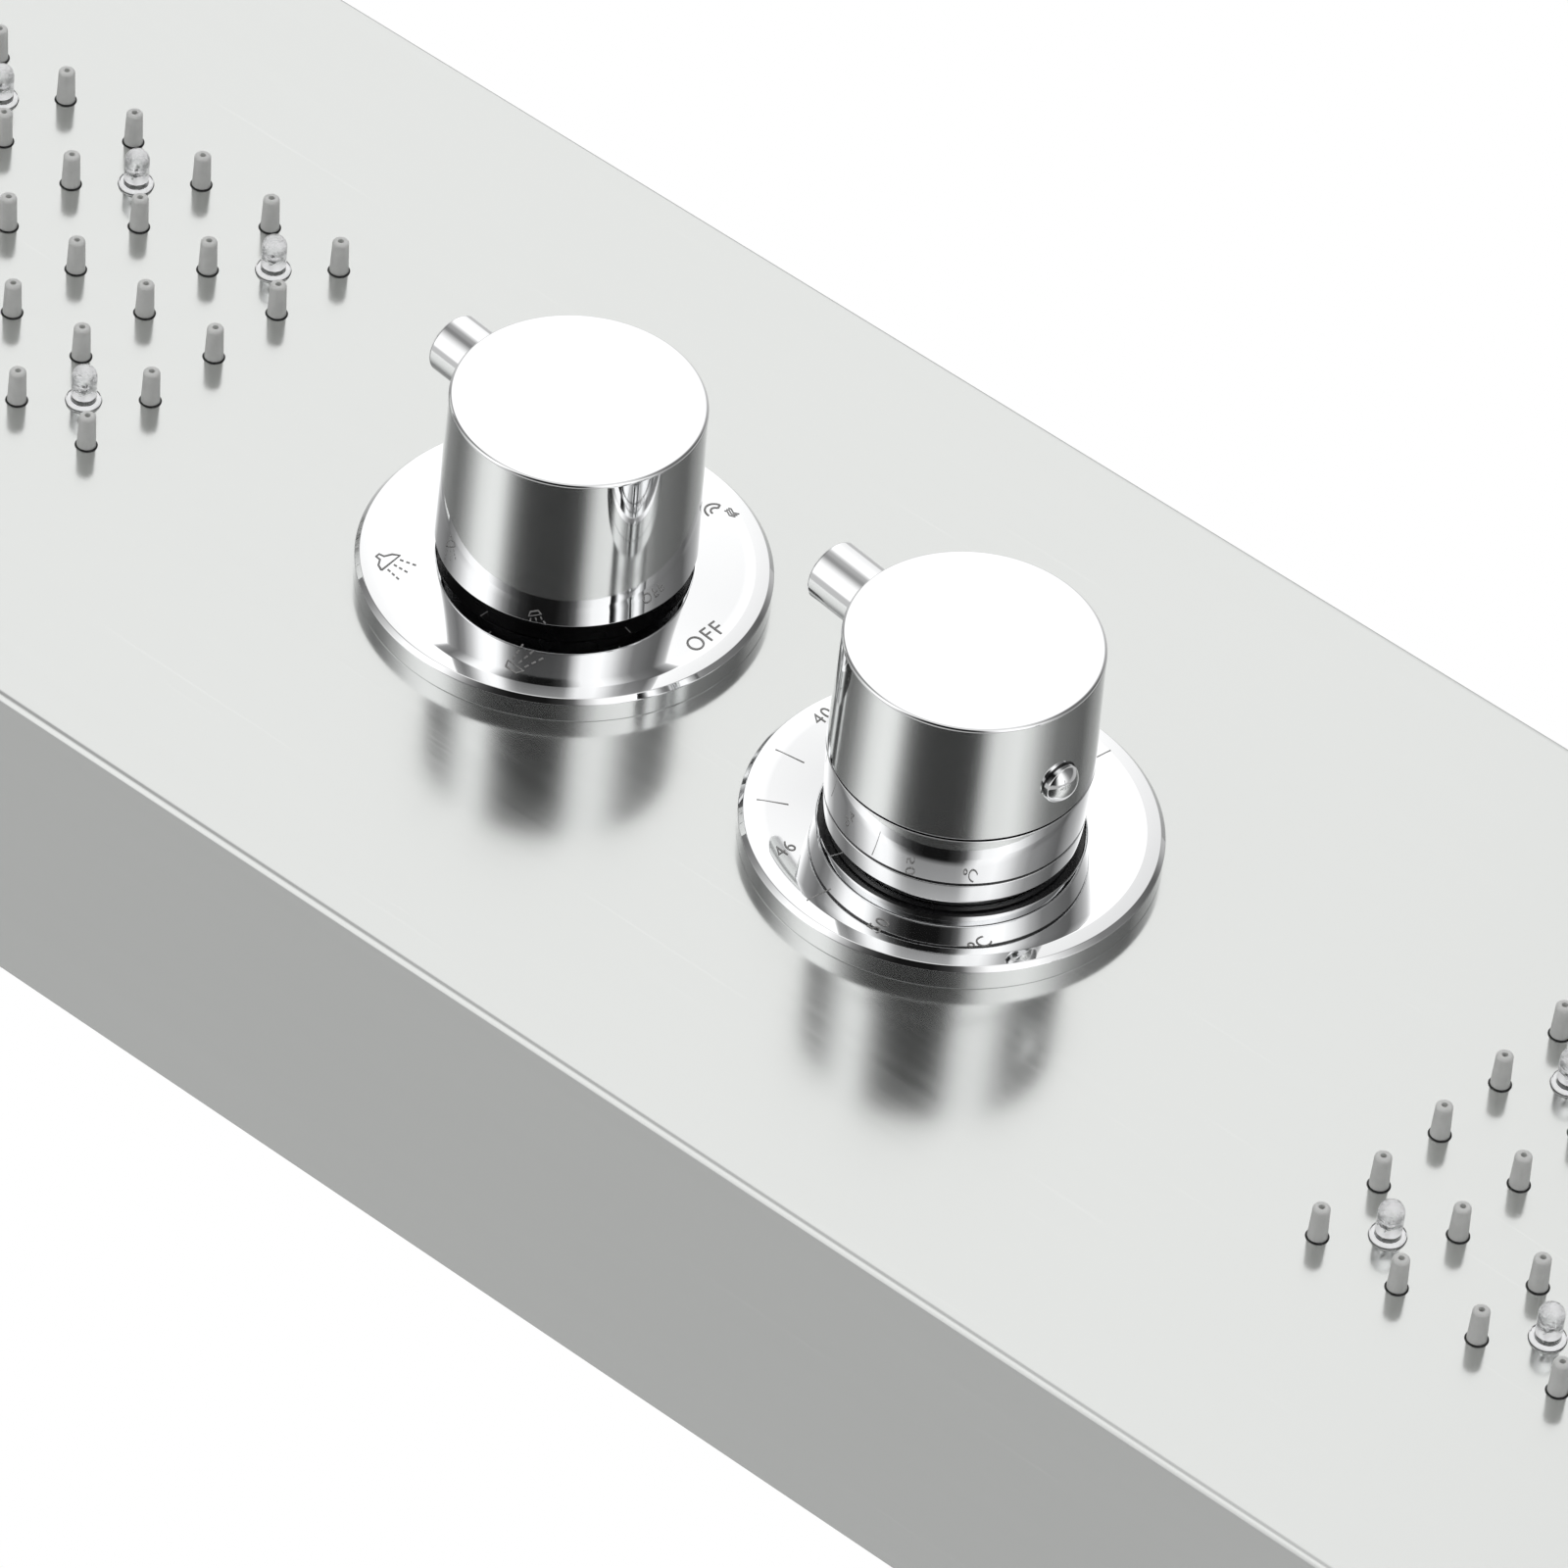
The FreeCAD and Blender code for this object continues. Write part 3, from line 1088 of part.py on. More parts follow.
def save_body_jets():
    """Both groups of body jets with their lamps."""
    mat = nozzle_mat(*BODY_JETS, lamp_places(), NOZZLE_HEIGHT)
    lamps = group(lamp(x, y) for x, y in lamp_places())
    for name, middle, way in (("upper", UPPER_JETS_Y, -1), ("lower", LOWER_JETS_Y, 1)):
        tray = water_box(*BODY_JETS, lamp_places(), body_jet_ports(way))
        pieces = {"nozzle_mat": mat, "water_box": tray, "leds": lamps, "led_board": lamp_board()}
        for piece, shape in pieces.items():
            save(f"{name}_{piece}", moved([shape], 0, middle)[0])
    for name, make in (("water_box_studs", studs), ("water_box_nuts", box_nuts)):
        around_jets = make(*BODY_JETS)
        save(name, group(moved(around_jets, 0, UPPER_JETS_Y) + moved(around_jets, 0, LOWER_JETS_Y)
                         + to_rain_head(make(*RAIN_JETS))))


def save_control(name, x, y, hole):
    """The fixed pieces that both controls share."""
    save(f"{name}_plate", cover_plate(x, y, hole))
    save(f"{name}_gasket", cover_gasket(x, y))
    save(f"{name}_collar", collar(x, y, hole))
    save(f"{name}_cartridge", cartridge(x, y))


def save_ring_nuts():
    """The ring nuts of both valves, one node for each kind."""
    places = ((0.0, DIVERTER_Y), (THERMOSTAT_OFFSET, THERMOSTAT_Y))
    save("panel_nuts", group(panel_nut(x, y) for x, y in places))
    save("cartridge_nuts", group(cartridge_nut(x, y) for x, y in places))


def save_diverter():
    """The diverter and its knob."""
    x, y, angle = 0.0, DIVERTER_Y, DIVERTER_REST_ANGLE
    bottom, top = DIVERTER_KNOB_BOTTOM, DIVERTER_KNOB_TOP
    save_control("diverter", x, y, DIVERTER_PLATE_HOLE)
    save("diverter_body", diverter_body())
    save("diverter_knob", turn(knob(x, y, bottom, top), x, y, angle))
    save("diverter_lever", turn(lever(x, y, bottom, top, DIVERTER_LEVER_END), x, y, angle))
    save("diverter_spindle", spindle(x, y, top - LEVER_BELOW_TOP))


def save_thermostat():
    """The thermostatic mixer, its knob and its stop button."""
    x, y, angle = THERMOSTAT_OFFSET, THERMOSTAT_Y, THERMOSTAT_REST_ANGLE
    bottom, top = THERMOSTAT_KNOB_BOTTOM, THERMOSTAT_KNOB_TOP
    save_control("thermostat", x, y, THERMOSTAT_PLATE_HOLE)
    save("mixer_body", mixer_body())
    save("inlet_filters", group(in_both_unions(SUPPLY_BORE - FIT, 0.0, FILTER_THICKNESS)))
    save("inlet_check_valves", group(in_both_unions(SUPPLY_BORE - FIT, FILTER_THICKNESS, CHECK_VALVE_LENGTH)))
    save("thermostat_knob", turn(thermostat_knob(), x, y, angle))
    save("thermostat_sleeve", thermostat_sleeve())
    save("thermostat_lever", turn(lever(x, y, bottom, top, THERMOSTAT_LEVER_END), x, y, angle))
    save("thermostat_spindle", spindle(x, y, top - LEVER_BELOW_TOP))
    save("stop_button", turn(stop_button(), x, y, angle))
    save("stop_button_spring", turn(stop_button_spring(), x, y, angle))


def save_pipes():
    """The pipes inside the column and their nuts."""
    save("mixer_pipe", mixer_pipe())
    save("jet_pipe", jet_pipe())
    save("rain_pipe", rain_pipe())
    save("spout_pipe", spout_pipe())
    save("hand_shower_pipe", hand_shower_pipe())
    save("pipe_nuts", pipe_nuts())


def save_rain_head():
    """The rain head at the column's top."""
    save("rain_head_shell", rain_head_shell())
    save("rain_head_plate", rain_head_plate())
    save("rain_nozzle_mat", to_rain_head([nozzle_mat(*RAIN_JETS, [], RAIN_NOZZLE_HEIGHT)])[0])
    save("rain_water_box", to_rain_head([water_box(*RAIN_JETS, [], [rain_port()])])[0])
    save("rain_head_screws", rain_head_screws())


def save_outlets():
    """The spout, the hand-shower outlet and the lamps' supply."""
    save("tub_spout", tub_spout())
    save("spout_flange", spout_flange())
    save("spout_aerator", spout_aerator())
    save("spout_nut", spout_nut())
    save("spout_elbow", spout_elbow())
    save("hand_shower_outlet", hand_shower_outlet())
    save("led_power_box", led_power_box())


def main():
    """Write every piece of the column."""
    os.makedirs("parts", exist_ok=True)
    save_casing()
    save_body_jets()
    save_ring_nuts()
    save_diverter()
    save_thermostat()
    save_pipes()
    save_rain_head()
    save_outlets()


main()
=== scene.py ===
"""Looks of a wall-hung shower panel column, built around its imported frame.

The front of the column faces -Y, +Z is up and the wall is the plane Y = 0. Lengths in the classes
below are millimetres in the front view: x to the right, y up from the upper wall screws, z out of the
casing's front face. `front_view()` brings a finished mesh from there into the frame, in metres.
"""
from __future__ import annotations

import json
import logging
import math
from dataclasses import dataclass, replace
from enum import Enum
from typing import Callable, Iterable, Sequence

import bmesh
import bpy
from mathutils import Matrix, Vector

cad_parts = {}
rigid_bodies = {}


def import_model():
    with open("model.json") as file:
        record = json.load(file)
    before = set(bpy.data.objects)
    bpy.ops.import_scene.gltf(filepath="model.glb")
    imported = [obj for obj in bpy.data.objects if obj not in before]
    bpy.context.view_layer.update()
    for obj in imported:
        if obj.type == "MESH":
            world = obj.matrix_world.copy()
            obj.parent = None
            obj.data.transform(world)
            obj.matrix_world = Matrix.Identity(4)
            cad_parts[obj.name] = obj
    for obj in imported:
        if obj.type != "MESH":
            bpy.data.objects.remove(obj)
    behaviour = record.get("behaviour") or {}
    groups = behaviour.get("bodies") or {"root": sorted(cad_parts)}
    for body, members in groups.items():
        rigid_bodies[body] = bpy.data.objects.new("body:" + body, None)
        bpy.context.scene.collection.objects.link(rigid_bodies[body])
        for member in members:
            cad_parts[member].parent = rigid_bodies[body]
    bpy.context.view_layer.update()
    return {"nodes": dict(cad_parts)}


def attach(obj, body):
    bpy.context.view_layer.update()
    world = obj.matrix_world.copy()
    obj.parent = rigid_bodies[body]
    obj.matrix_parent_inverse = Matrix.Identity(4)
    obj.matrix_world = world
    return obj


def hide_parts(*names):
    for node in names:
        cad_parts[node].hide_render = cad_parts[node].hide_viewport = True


LOG = logging.getLogger("shower_column")
MM = 0.001
FRONT_FACE_Y = -0.070
DISPLAY_GAMMA = 2.2
SHARP_ABOVE = math.radians(35.0)

Point = tuple[float, float]
Place = tuple[float, float, float]
Colour = tuple[float, float, float]
Shape = bmesh.types.BMesh
Node = bpy.types.Node
Socket = bpy.types.NodeSocket


class Body(Enum):
    """The moving bodies of the frame."""

    COLUMN = "column"
    DIVERTER = "diverter_handle"
    THERMOSTAT = "thermostat_handle"
    BUTTON = "safety_button"


class Slot(Enum):
    """The record's material slots."""

    BRUSHED_STEEL = "brushed_steel"
    CHROME = "chrome"
    BRACKET_STEEL = "bracket_steel"
    BRASS = "brass"
    BLACK_PLASTIC = "black_plastic"
    VALVE_PLASTIC = "valve_plastic"
    SILICONE = "silicone"
    SEAL_RUBBER = "seal_rubber"
    BOX_PLASTIC = "box_plastic"
    CLEAR_LENS = "clear_lens"
    BOARD = "board"
    SPRING_STEEL = "spring_steel"


class Axis(Enum):
    """The direction that a brushed surface's grain runs in."""

    X = 0
    Y = 1
    Z = 2


# ---------------------------------------------------------------- shader groups


class NodeTree:
    """A node tree with short ways to add nodes and join them."""

    def __init__(self, tree: bpy.types.NodeTree) -> None:
        """Wraps a tree that is there already."""
        self.tree = tree

    def add(self, kind: str, **settings: object) -> Node:
        """Adds a node.

        Args:
            kind: the node's type without its "ShaderNode" prefix.
            **settings: the node's own properties.

        Returns:
            The new node.
        """
        node = self.tree.nodes.new("NodeGroupInput" if kind == "In" else
                                   "NodeGroupOutput" if kind == "Out" else "ShaderNode" + kind)
        for name, value in settings.items():
            setattr(node, name, value)
        return node

    def join(self, source: object, target: Socket) -> None:
        """Links an output to an input, or writes a plain value into the input.

        Args:
            source: an output, a number or a colour.
            target: the input.
        """
        if isinstance(source, Socket):
            self.tree.links.new(source, target)
        else:
            target.default_value = source

    def feed(self, node: Node, **values: object) -> Node:
        """Joins values to a node's inputs.

        Args:
            node: the node.
            **values: its inputs by name, with _ for a space.

        Returns:
            The node.
        """
        for name, value in values.items():
            self.join(value, node.inputs[name.replace("_", " ")])
        return node

    def math(self, operation: str, *values: object) -> Socket:
        """Adds a Math node.

        Args:
            operation: what it does.
            *values: the sockets or numbers that it works on.

        Returns:
            Its result.
        """
        node = self.add("Math", operation=operation)
        for value, socket in zip(values, node.inputs):
            self.join(value, socket)
        return node.outputs[0]

    def remap(self, value: object, low: float, high: float, to_low: float = 0.0,
              to_high: float = 1.0, smooth: bool = False) -> Socket:
        """Adds a clamped Map Range node.

        Args:
            value: what it maps.
            low: the value that becomes to_low.
            high: the value that becomes to_high.
            to_low: the result up to low.
            to_high: the result from high on.
            smooth: whether it eases in and out.

        Returns:
            Its result.
        """
        node = self.add("MapRange", clamp=True,
                        interpolation_type="SMOOTHSTEP" if smooth else "LINEAR")
        for source, socket in zip((value, low, high, to_low, to_high), node.inputs):
            self.join(source, socket)
        return node.outputs[0]

    def ramp(self, value: object, stops: Sequence[tuple[float, Colour]]) -> Socket:
        """Adds a Color Ramp node.

        Args:
            value: where the ramp is read.
            stops: its places and colours, in order.

        Returns:
            Its colour.
        """
        node = self.add("ValToRGB")
        band = node.color_ramp
        while len(band.elements) < len(stops):
            band.elements.new(0.5)
        for element, (place, colour) in zip(band.elements, stops):
            element.position = place
            element.color = (*colour, 1.0)
        self.join(value, node.inputs[0])
        return node.outputs[0]

    def mix(self, share: object, first: object, second: object) -> Socket:
        """Adds a colour Mix node.

        Args:
            share: how much of the second colour.
            first: a colour or socket.
            second: a colour or socket.

        Returns:
            Its colour.
        """
        node = self.add("Mix", data_type="RGBA")
        self.join(share, node.inputs[0])
        for value, socket in ((first, node.inputs[6]), (second, node.inputs[7])):
            self.join((*value, 1.0) if isinstance(value, tuple) else value, socket)
        return node.outputs[2]

    def blend(self, share: object, first: Node, second: Node,
              target: Socket) -> None:
        """Adds a Mix Shader node.

        Args:
            share: how much of the second shader.
            first: a shader node.
            second: a shader node.
            target: the input that the blended shader goes to.
        """
        node = self.add("MixShader")
        for source, socket in zip((share, first.outputs[0], second.outputs[0]), node.inputs):
            self.join(source, socket)
        self.join(node.outputs[0], target)


class EffectGroup:
    """A shader node group that several finishes use, built once."""

    label = ""
    inputs: Sequence[tuple[str, str, float]] = ()
    outputs: Sequence[tuple[str, str]] = ()

    def wire(self, tree: NodeTree, into: Node, out: Node) -> None:
        """Joins the group's own nodes.

        Args:
            tree: the group's tree.
            into: the node with the group's inputs.
            out: the node with its outputs.
        """
        raise NotImplementedError

    def group(self) -> bpy.types.NodeTree:
        """Returns the group, and builds it on its first use."""
        found = bpy.data.node_groups.get(self.label)
        if found:
            return found
        group = bpy.data.node_groups.new(self.label, "ShaderNodeTree")
        for name, kind, value in self.inputs:
            socket = group.interface.new_socket(name, in_out="INPUT", socket_type=kind)
            if kind == "NodeSocketFloat":
                socket.default_value = value
        for name, kind in self.outputs:
            group.interface.new_socket(name, in_out="OUTPUT", socket_type=kind)
        tree = NodeTree(group)
        self.wire(tree, tree.add("In"), tree.add("Out"))
        return group

    def place(self, tree: NodeTree, **values: object) -> Node:
        """Puts the group into a material.

        Args:
            tree: the material's tree.
            **values: the group's inputs by name, with _ for a space.

        Returns:
            The group's node.
        """
        return tree.feed(tree.add("Group", node_tree=self.group()), **values)


class Grain(EffectGroup):
    """Fine parallel scratches of a brushed sheet, with a few longer bright ones."""

    label = "grain"
    inputs = (("Vector", "NodeSocketVector", 0.0),)
    outputs = (("Height", "NodeSocketFloat"), ("Streaks", "NodeSocketFloat"),
               ("Scratches", "NodeSocketFloat"))

    def wire(self, tree: NodeTree, into: Node, out: Node) -> None:
        """Three stretched noises: hairlines, soft bands and rare scratches.

        Args:
            tree: the group's tree.
            into: the node with the group's inputs.
            out: the node with its outputs.
        """
        hairs, bands, rare = (tree.add("TexNoise") for _ in range(3))
        for node, size, detail in ((hairs, 1.0, 3.0), (bands, 0.16, 2.0), (rare, 0.45, 1.0)):
            tree.feed(node, Vector=into.outputs["Vector"], Scale=size, Detail=detail)
        tree.join(hairs.outputs[0], out.inputs["Height"])
        streaks = tree.math("ADD", tree.math("MULTIPLY", hairs.outputs[0], 0.55),
                            tree.math("MULTIPLY", bands.outputs[0], 0.45))
        tree.join(tree.remap(streaks, 0.3, 0.7), out.inputs["Streaks"])
        tree.join(tree.remap(rare.outputs[0], 0.66, 0.74), out.inputs["Scratches"])


class Blemish(EffectGroup):
    """Soft cloudy smudges and fine speckle of handled or moulded surfaces."""

    label = "blemish"
    inputs = (("Vector", "NodeSocketVector", 0.0), ("Cloud Scale", "NodeSocketFloat", 40.0),
              ("Speckle Scale", "NodeSocketFloat", 900.0))
    outputs = (("Clouds", "NodeSocketFloat"), ("Speckle", "NodeSocketFloat"))

    def wire(self, tree: NodeTree, into: Node, out: Node) -> None:
        """A large soft noise and a small hard one.

        Args:
            tree: the group's tree.
            into: the node with the group's inputs.
            out: the node with its outputs.
        """
        for scale, detail, low, high, output in (("Cloud Scale", 4.0, 0.35, 0.7, "Clouds"),
                                                 ("Speckle Scale", 2.0, 0.4, 0.62, "Speckle")):
            node = tree.feed(tree.add("TexNoise"), Vector=into.outputs["Vector"],
                             Scale=into.outputs[scale], Detail=detail)
            tree.join(tree.remap(node.outputs[0], low, high), out.inputs[output])


# ---------------------------------------------------------------- finishes


@dataclass(frozen=True)
class Finish:
    """A surface finish: its slot, colour, gloss and any further inputs of its shader.

    A finish makes its material once.
    """

    name: str
    slot: Slot
    colour: Colour
    roughness: float
    metallic: float = 0.0
    bump: float = 0.0
    variation: float = 0.04
    cloud_scale: float = 40.0
    speckle_scale: float = 900.0
    bump_depth: float = 0.00005
    patchy: float = 0.15
    extras: tuple[tuple[str, object], ...] = ()

    def material(self) -> bpy.types.Material:
        """Returns the finish's material, and builds it on its first use."""
        found = bpy.data.materials.get(self.name)
        if found:
            return found
        material = bpy.data.materials.new(self.name)
        material.use_nodes = True
        tree = NodeTree(material.node_tree)
        shader = material.node_tree.nodes["Principled BSDF"]
        tree.feed(shader, Metallic=self.metallic, **dict(self.extras))
        self.wire(tree, shader)
        return material

    def coordinates(self, tree: NodeTree) -> Socket:
        """The object's own coordinates."""
        return tree.add("TexCoord").outputs["Object"]

    def marks(self, tree: NodeTree) -> bpy.types.NodeOutputs:
        """The clouds and speckle of this finish.

        Args:
            tree: the material's tree.

        Returns:
            The outputs "Clouds" and "Speckle".
        """
        return Blemish().place(tree, Vector=self.coordinates(tree), Cloud_Scale=self.cloud_scale,
                               Speckle_Scale=self.speckle_scale).outputs

    def bumped(self, tree: NodeTree, shader: Node, height: object) -> None:
        """Feeds a height into the shader's normal.

        Args:
            tree: the material's tree.
            shader: its Principled shader.
            height: the height, from 0 to 1.
        """
        node = tree.feed(tree.add("Bump"), Strength=self.bump, Distance=self.bump_depth,
                         Height=height)
        tree.feed(shader, Normal=node.outputs[0])

    def shade(self, by: float) -> Colour:
        """The finish's colour, lighter or darker by a share."""
        return tuple(min(1.0, max(0.0, part * (1 + by))) for part in self.colour)

    def wire(self, tree: NodeTree, shader: Node) -> None:
        """Colour, roughness and bump from soft clouds and speckle.

        Args:
            tree: the material's tree.
            shader: its Principled shader.
        """
        marks = self.marks(tree)
        clouds = marks["Clouds"]
        tree.feed(shader, Base_Color=tree.mix(clouds, self.shade(-self.variation),
                                              self.shade(self.variation)),
                  Roughness=tree.remap(clouds, 0.0, 1.0, self.roughness * (1 - self.patchy),
                                       self.roughness * (1 + self.patchy)))
        if self.bump:
            self.bumped(tree, shader, marks["Speckle"])


@dataclass(frozen=True)
class Brushed(Finish):
    """Sheet metal brushed in one direction. The grain gives its roughness."""

    bump_depth: float = 0.000004
    along: Axis = Axis.Z
    line_width: float = 0.00035
    line_length: float = 0.045
    rough_low: float = 0.15
    rough_high: float = 0.36
    anisotropy: float = 0.45
    scratched: float = 0.2
    scratch_lift: float = 0.12

    def wire(self, tree: NodeTree, shader: Node) -> None:
        """Grain in colour, roughness and bump, and a stretched highlight.

        Args:
            tree: the material's tree.
            shader: its Principled shader.
        """
        scale = [1 / self.line_width] * 3
        scale[self.along.value] = 1 / self.line_length
        stretch = tree.feed(tree.add("Mapping"), Scale=scale, Vector=self.coordinates(tree))
        grain = Grain().place(tree, Vector=stretch.outputs[0]).outputs
        lit = tree.mix(grain["Streaks"], self.shade(-self.variation), self.shade(self.variation))
        scratches = tree.math("MULTIPLY", grain["Scratches"], self.scratched)
        tree.feed(shader, Base_Color=tree.mix(scratches, lit, self.shade(self.scratch_lift)),
                  Roughness=tree.remap(grain["Streaks"], 0.0, 1.0, self.rough_low,
                                       self.rough_high), Anisotropic=self.anisotropy)
        self.bumped(tree, shader, grain["Height"])


@dataclass(frozen=True)
class Plated(Finish):
    """Polished chrome plate with the faintest smudges."""

    smudged: float = 2.2

    def wire(self, tree: NodeTree, shader: Node) -> None:
        """Roughness from smudges, and a trace of colour variation.

        Args:
            tree: the material's tree.
            shader: its Principled shader.
        """
        clouds = self.marks(tree)["Clouds"]
        tree.feed(shader, Base_Color=tree.mix(clouds, self.colour, self.shade(-self.variation)),
                  Roughness=tree.remap(clouds, 0.0, 1.0, self.roughness,
                                       self.roughness * self.smudged))


@dataclass(frozen=True)
class Clear(Finish):
    """Cast clear resin with slight waviness."""

    bump_depth: float = 0.0002
    ior: float = 1.52

    def wire(self, tree: NodeTree, shader: Node) -> None:
        """Plain transmission with a soft cast-in ripple.

        Args:
            tree: the material's tree.
            shader: its Principled shader.
        """
        marks = self.marks(tree)
        tree.feed(shader, Base_Color=(*self.colour, 1.0), Transmission_Weight=1.0, IOR=self.ior,
                  Roughness=tree.remap(marks["Speckle"], 0.0, 1.0, self.roughness,
                                       self.roughness * 2))
        self.bumped(tree, shader, marks["Clouds"])


FRONT_STEEL = Brushed("front_steel", Slot.BRUSHED_STEEL, (0.72, 0.732, 0.718), 0.2, 0.9, bump=0.08,
                      variation=0.012, rough_low=0.13, rough_high=0.19, anisotropy=0.3)
HEAD_STEEL = replace(FRONT_STEEL, name="head_steel", along=Axis.Y)
CHROME = Plated("polished_chrome", Slot.CHROME, (0.94, 0.945, 0.95), 0.025, 1.0, variation=0.015,
                cloud_scale=55.0)
CUT_STEEL = Brushed("bracket_sheet", Slot.BRACKET_STEEL, (0.62, 0.62, 0.61), 0.35, 1.0, bump=0.3,
                    variation=0.06, along=Axis.X, rough_low=0.3, rough_high=0.5)
PIPE_STEEL = Finish("drawn_pipe", Slot.BRACKET_STEEL, (0.66, 0.66, 0.65), 0.28, 1.0, bump=0.15,
                    variation=0.05)
BRASS = Finish("turned_brass", Slot.BRASS, (0.78, 0.60, 0.32), 0.3, 1.0, bump=0.2, variation=0.08,
               cloud_scale=70.0)
BLACK = Finish("black_ring_plastic", Slot.BLACK_PLASTIC, (0.012, 0.012, 0.013), 0.28, bump=0.1)
MOULDED = Finish("valve_insert_plastic", Slot.VALVE_PLASTIC, (0.35, 0.37, 0.40), 0.4, bump=0.2)
# light goes a little way into silicone
SILICONE = Finish("nozzle_silicone", Slot.SILICONE, (0.78, 0.785, 0.77), 0.38, bump=0.2,
                  variation=0.05, cloud_scale=300.0, speckle_scale=2500.0, extras=(
                      ("Subsurface_Weight", 0.35), ("Subsurface_Scale", 0.0015),
                      ("Subsurface_Radius", (1.0, 1.0, 1.0))))
FOAM = Finish("foam_rubber", Slot.SEAL_RUBBER, (0.035, 0.035, 0.036), 0.85, bump=0.6,
              variation=0.2, speckle_scale=1500.0)
WHITE_BOX = Finish("moulded_box", Slot.BOX_PLASTIC, (0.82, 0.82, 0.80), 0.42, bump=0.2)
LENS = Clear("clear_resin", Slot.CLEAR_LENS, (0.98, 0.99, 1.0), 0.01, bump=0.7,
             cloud_scale=700.0, speckle_scale=2500.0)
BOARD = Finish("circuit_board", Slot.BOARD, (0.03, 0.20, 0.09), 0.3, bump=0.15, variation=0.12)
SPRING = Finish("spring_wire", Slot.SPRING_STEEL, (0.6, 0.6, 0.6), 0.25, 1.0, bump=0.1)
ENAMEL = Finish("engraved_grey", Slot.CHROME, (0.36, 0.355, 0.35), 0.5, bump=0.3, variation=0.25,
                cloud_scale=500.0, speckle_scale=4000.0)
PRINT_WHITE = Finish("white_print", Slot.BLACK_PLASTIC, (0.6, 0.6, 0.6), 0.5, variation=0.1)
# white enamel with a faint emission: painted glow in place of the light that the clear resin would
# gather
REFLECTOR_PAINTED_GLOW = Finish("lamp_reflector", Slot.BOX_PLASTIC, (0.9, 0.9, 0.9), 0.3, bump=0.1, extras=(
    ("Emission_Color", (1.0, 1.0, 1.0, 1.0)), ("Emission_Strength", 0.45)))
LEAD_FRAME = Finish("lamp_lead_frame", Slot.SPRING_STEEL, (0.92, 0.92, 0.92), 0.16, 1.0)


# ---------------------------------------------------------------- mesh tools


def front_view(mesh: bpy.types.Mesh, x: float, y: float) -> None:
    """Brings a mesh from front-view millimetres about (x, y) into the frame."""
    mesh.transform(Matrix.Translation((x * MM, FRONT_FACE_Y, y * MM))
                   @ Matrix.Rotation(math.radians(90), 4, "X") @ Matrix.Scale(MM, 4))


def rounded(corner: Point, before: Point, after: Point, radius: float, steps: int) -> list[Point]:
    """The points of an arc that rounds a profile's corner.

    Args:
        corner: the sharp corner.
        before: the profile's point before it.
        after: the profile's point after it.
        radius: the arc's radius.
        steps: how many runs the arc has.

    Returns:
        The arc's points, from the side of `before` to the side of `after`.
    """
    middle, one, two = (Vector(p) for p in (corner, before, after))
    way_in, way_out = (one - middle).normalized(), (two - middle).normalized()
    half = way_in.angle(way_out) / 2
    setback = radius / math.tan(half)
    centre = middle + (way_in + way_out).normalized() * (radius / math.sin(half))
    start = middle + way_in * setback - centre
    end = middle + way_out * setback - centre
    sweep = start.angle_signed(end)
    return [tuple(centre + Matrix.Rotation(-sweep * i / steps, 2) @ start) for i in range(steps + 1)]


def turned(profile: Sequence[Point], steps: int, rounds: dict[int, float] | None = None,
           runs: int = 6) -> Shape:
    """A shape turned about the z axis from (radius, height) points.

    Args:
        profile: the points, in order round the section.
        steps: the parts of a full turn.
        rounds: the radius at each rounded corner, by the point's number.
        runs: how many runs such a corner's arc has.

    Returns:
        The shape, with its faces outwards.
    """
    corners = [[point] for point in profile]
    for i, radius in (rounds or {}).items():
        corners[i] = rounded(profile[i], profile[i - 1], profile[i + 1], radius, runs)
    shape = bmesh.new()
    points = [shape.verts.new((x, 0.0, z)) for arc in corners for x, z in arc]
    edges = [shape.edges.new(pair) for pair in zip(points, points[1:] + points[:1])
             if not (pair[0].co.x == 0.0 and pair[1].co.x == 0.0)]
    bmesh.ops.spin(shape, geom=points + edges, cent=(0, 0, 0), axis=(0, 0, 1),
                   angle=math.tau, steps=steps, use_merge=True, use_duplicate=False)
    bmesh.ops.remove_doubles(shape, verts=shape.verts, dist=1e-4)
    bmesh.ops.recalc_face_normals(shape, faces=shape.faces)
    return shape


def joined(shapes: Iterable[Shape]) -> Shape:
    """One mesh with all the shapes in it.

    Args:
        shapes: the shapes. They are used up.

    Returns:
        The mesh.
    """
    whole = bmesh.new()
    for shape in shapes:
        part = bpy.data.meshes.new("part")
        shape.to_mesh(part)
        shape.free()
        whole.from_mesh(part)
        bpy.data.meshes.remove(part)
    return whole


def shifted(shape: Shape, x: float, y: float, z: float = 0.0) -> Shape:
    """The shape, moved."""
    bmesh.ops.translate(shape, verts=shape.verts, vec=(x, y, z))
    return shape


def rotated(shape: Shape, degrees: float, axis: str) -> Shape:
    """The shape, turned about an axis through its origin."""
    bmesh.ops.rotate(shape, verts=shape.verts, cent=(0, 0, 0),
                     matrix=Matrix.Rotation(math.radians(degrees), 3, axis))
    return shape


# ---------------------------------------------------------------- marks


@dataclass(frozen=True)
class Stroke:
    """A thin engraved line through a few points, in millimetres about its mark's middle."""

    points: tuple[Point, ...]
    width: float = 0.42

    def scaled(self, factor: float) -> Stroke:
        """The stroke, larger, with the same width."""
        return Stroke(tuple((x * factor, y * factor) for x, y in self.points), self.width)


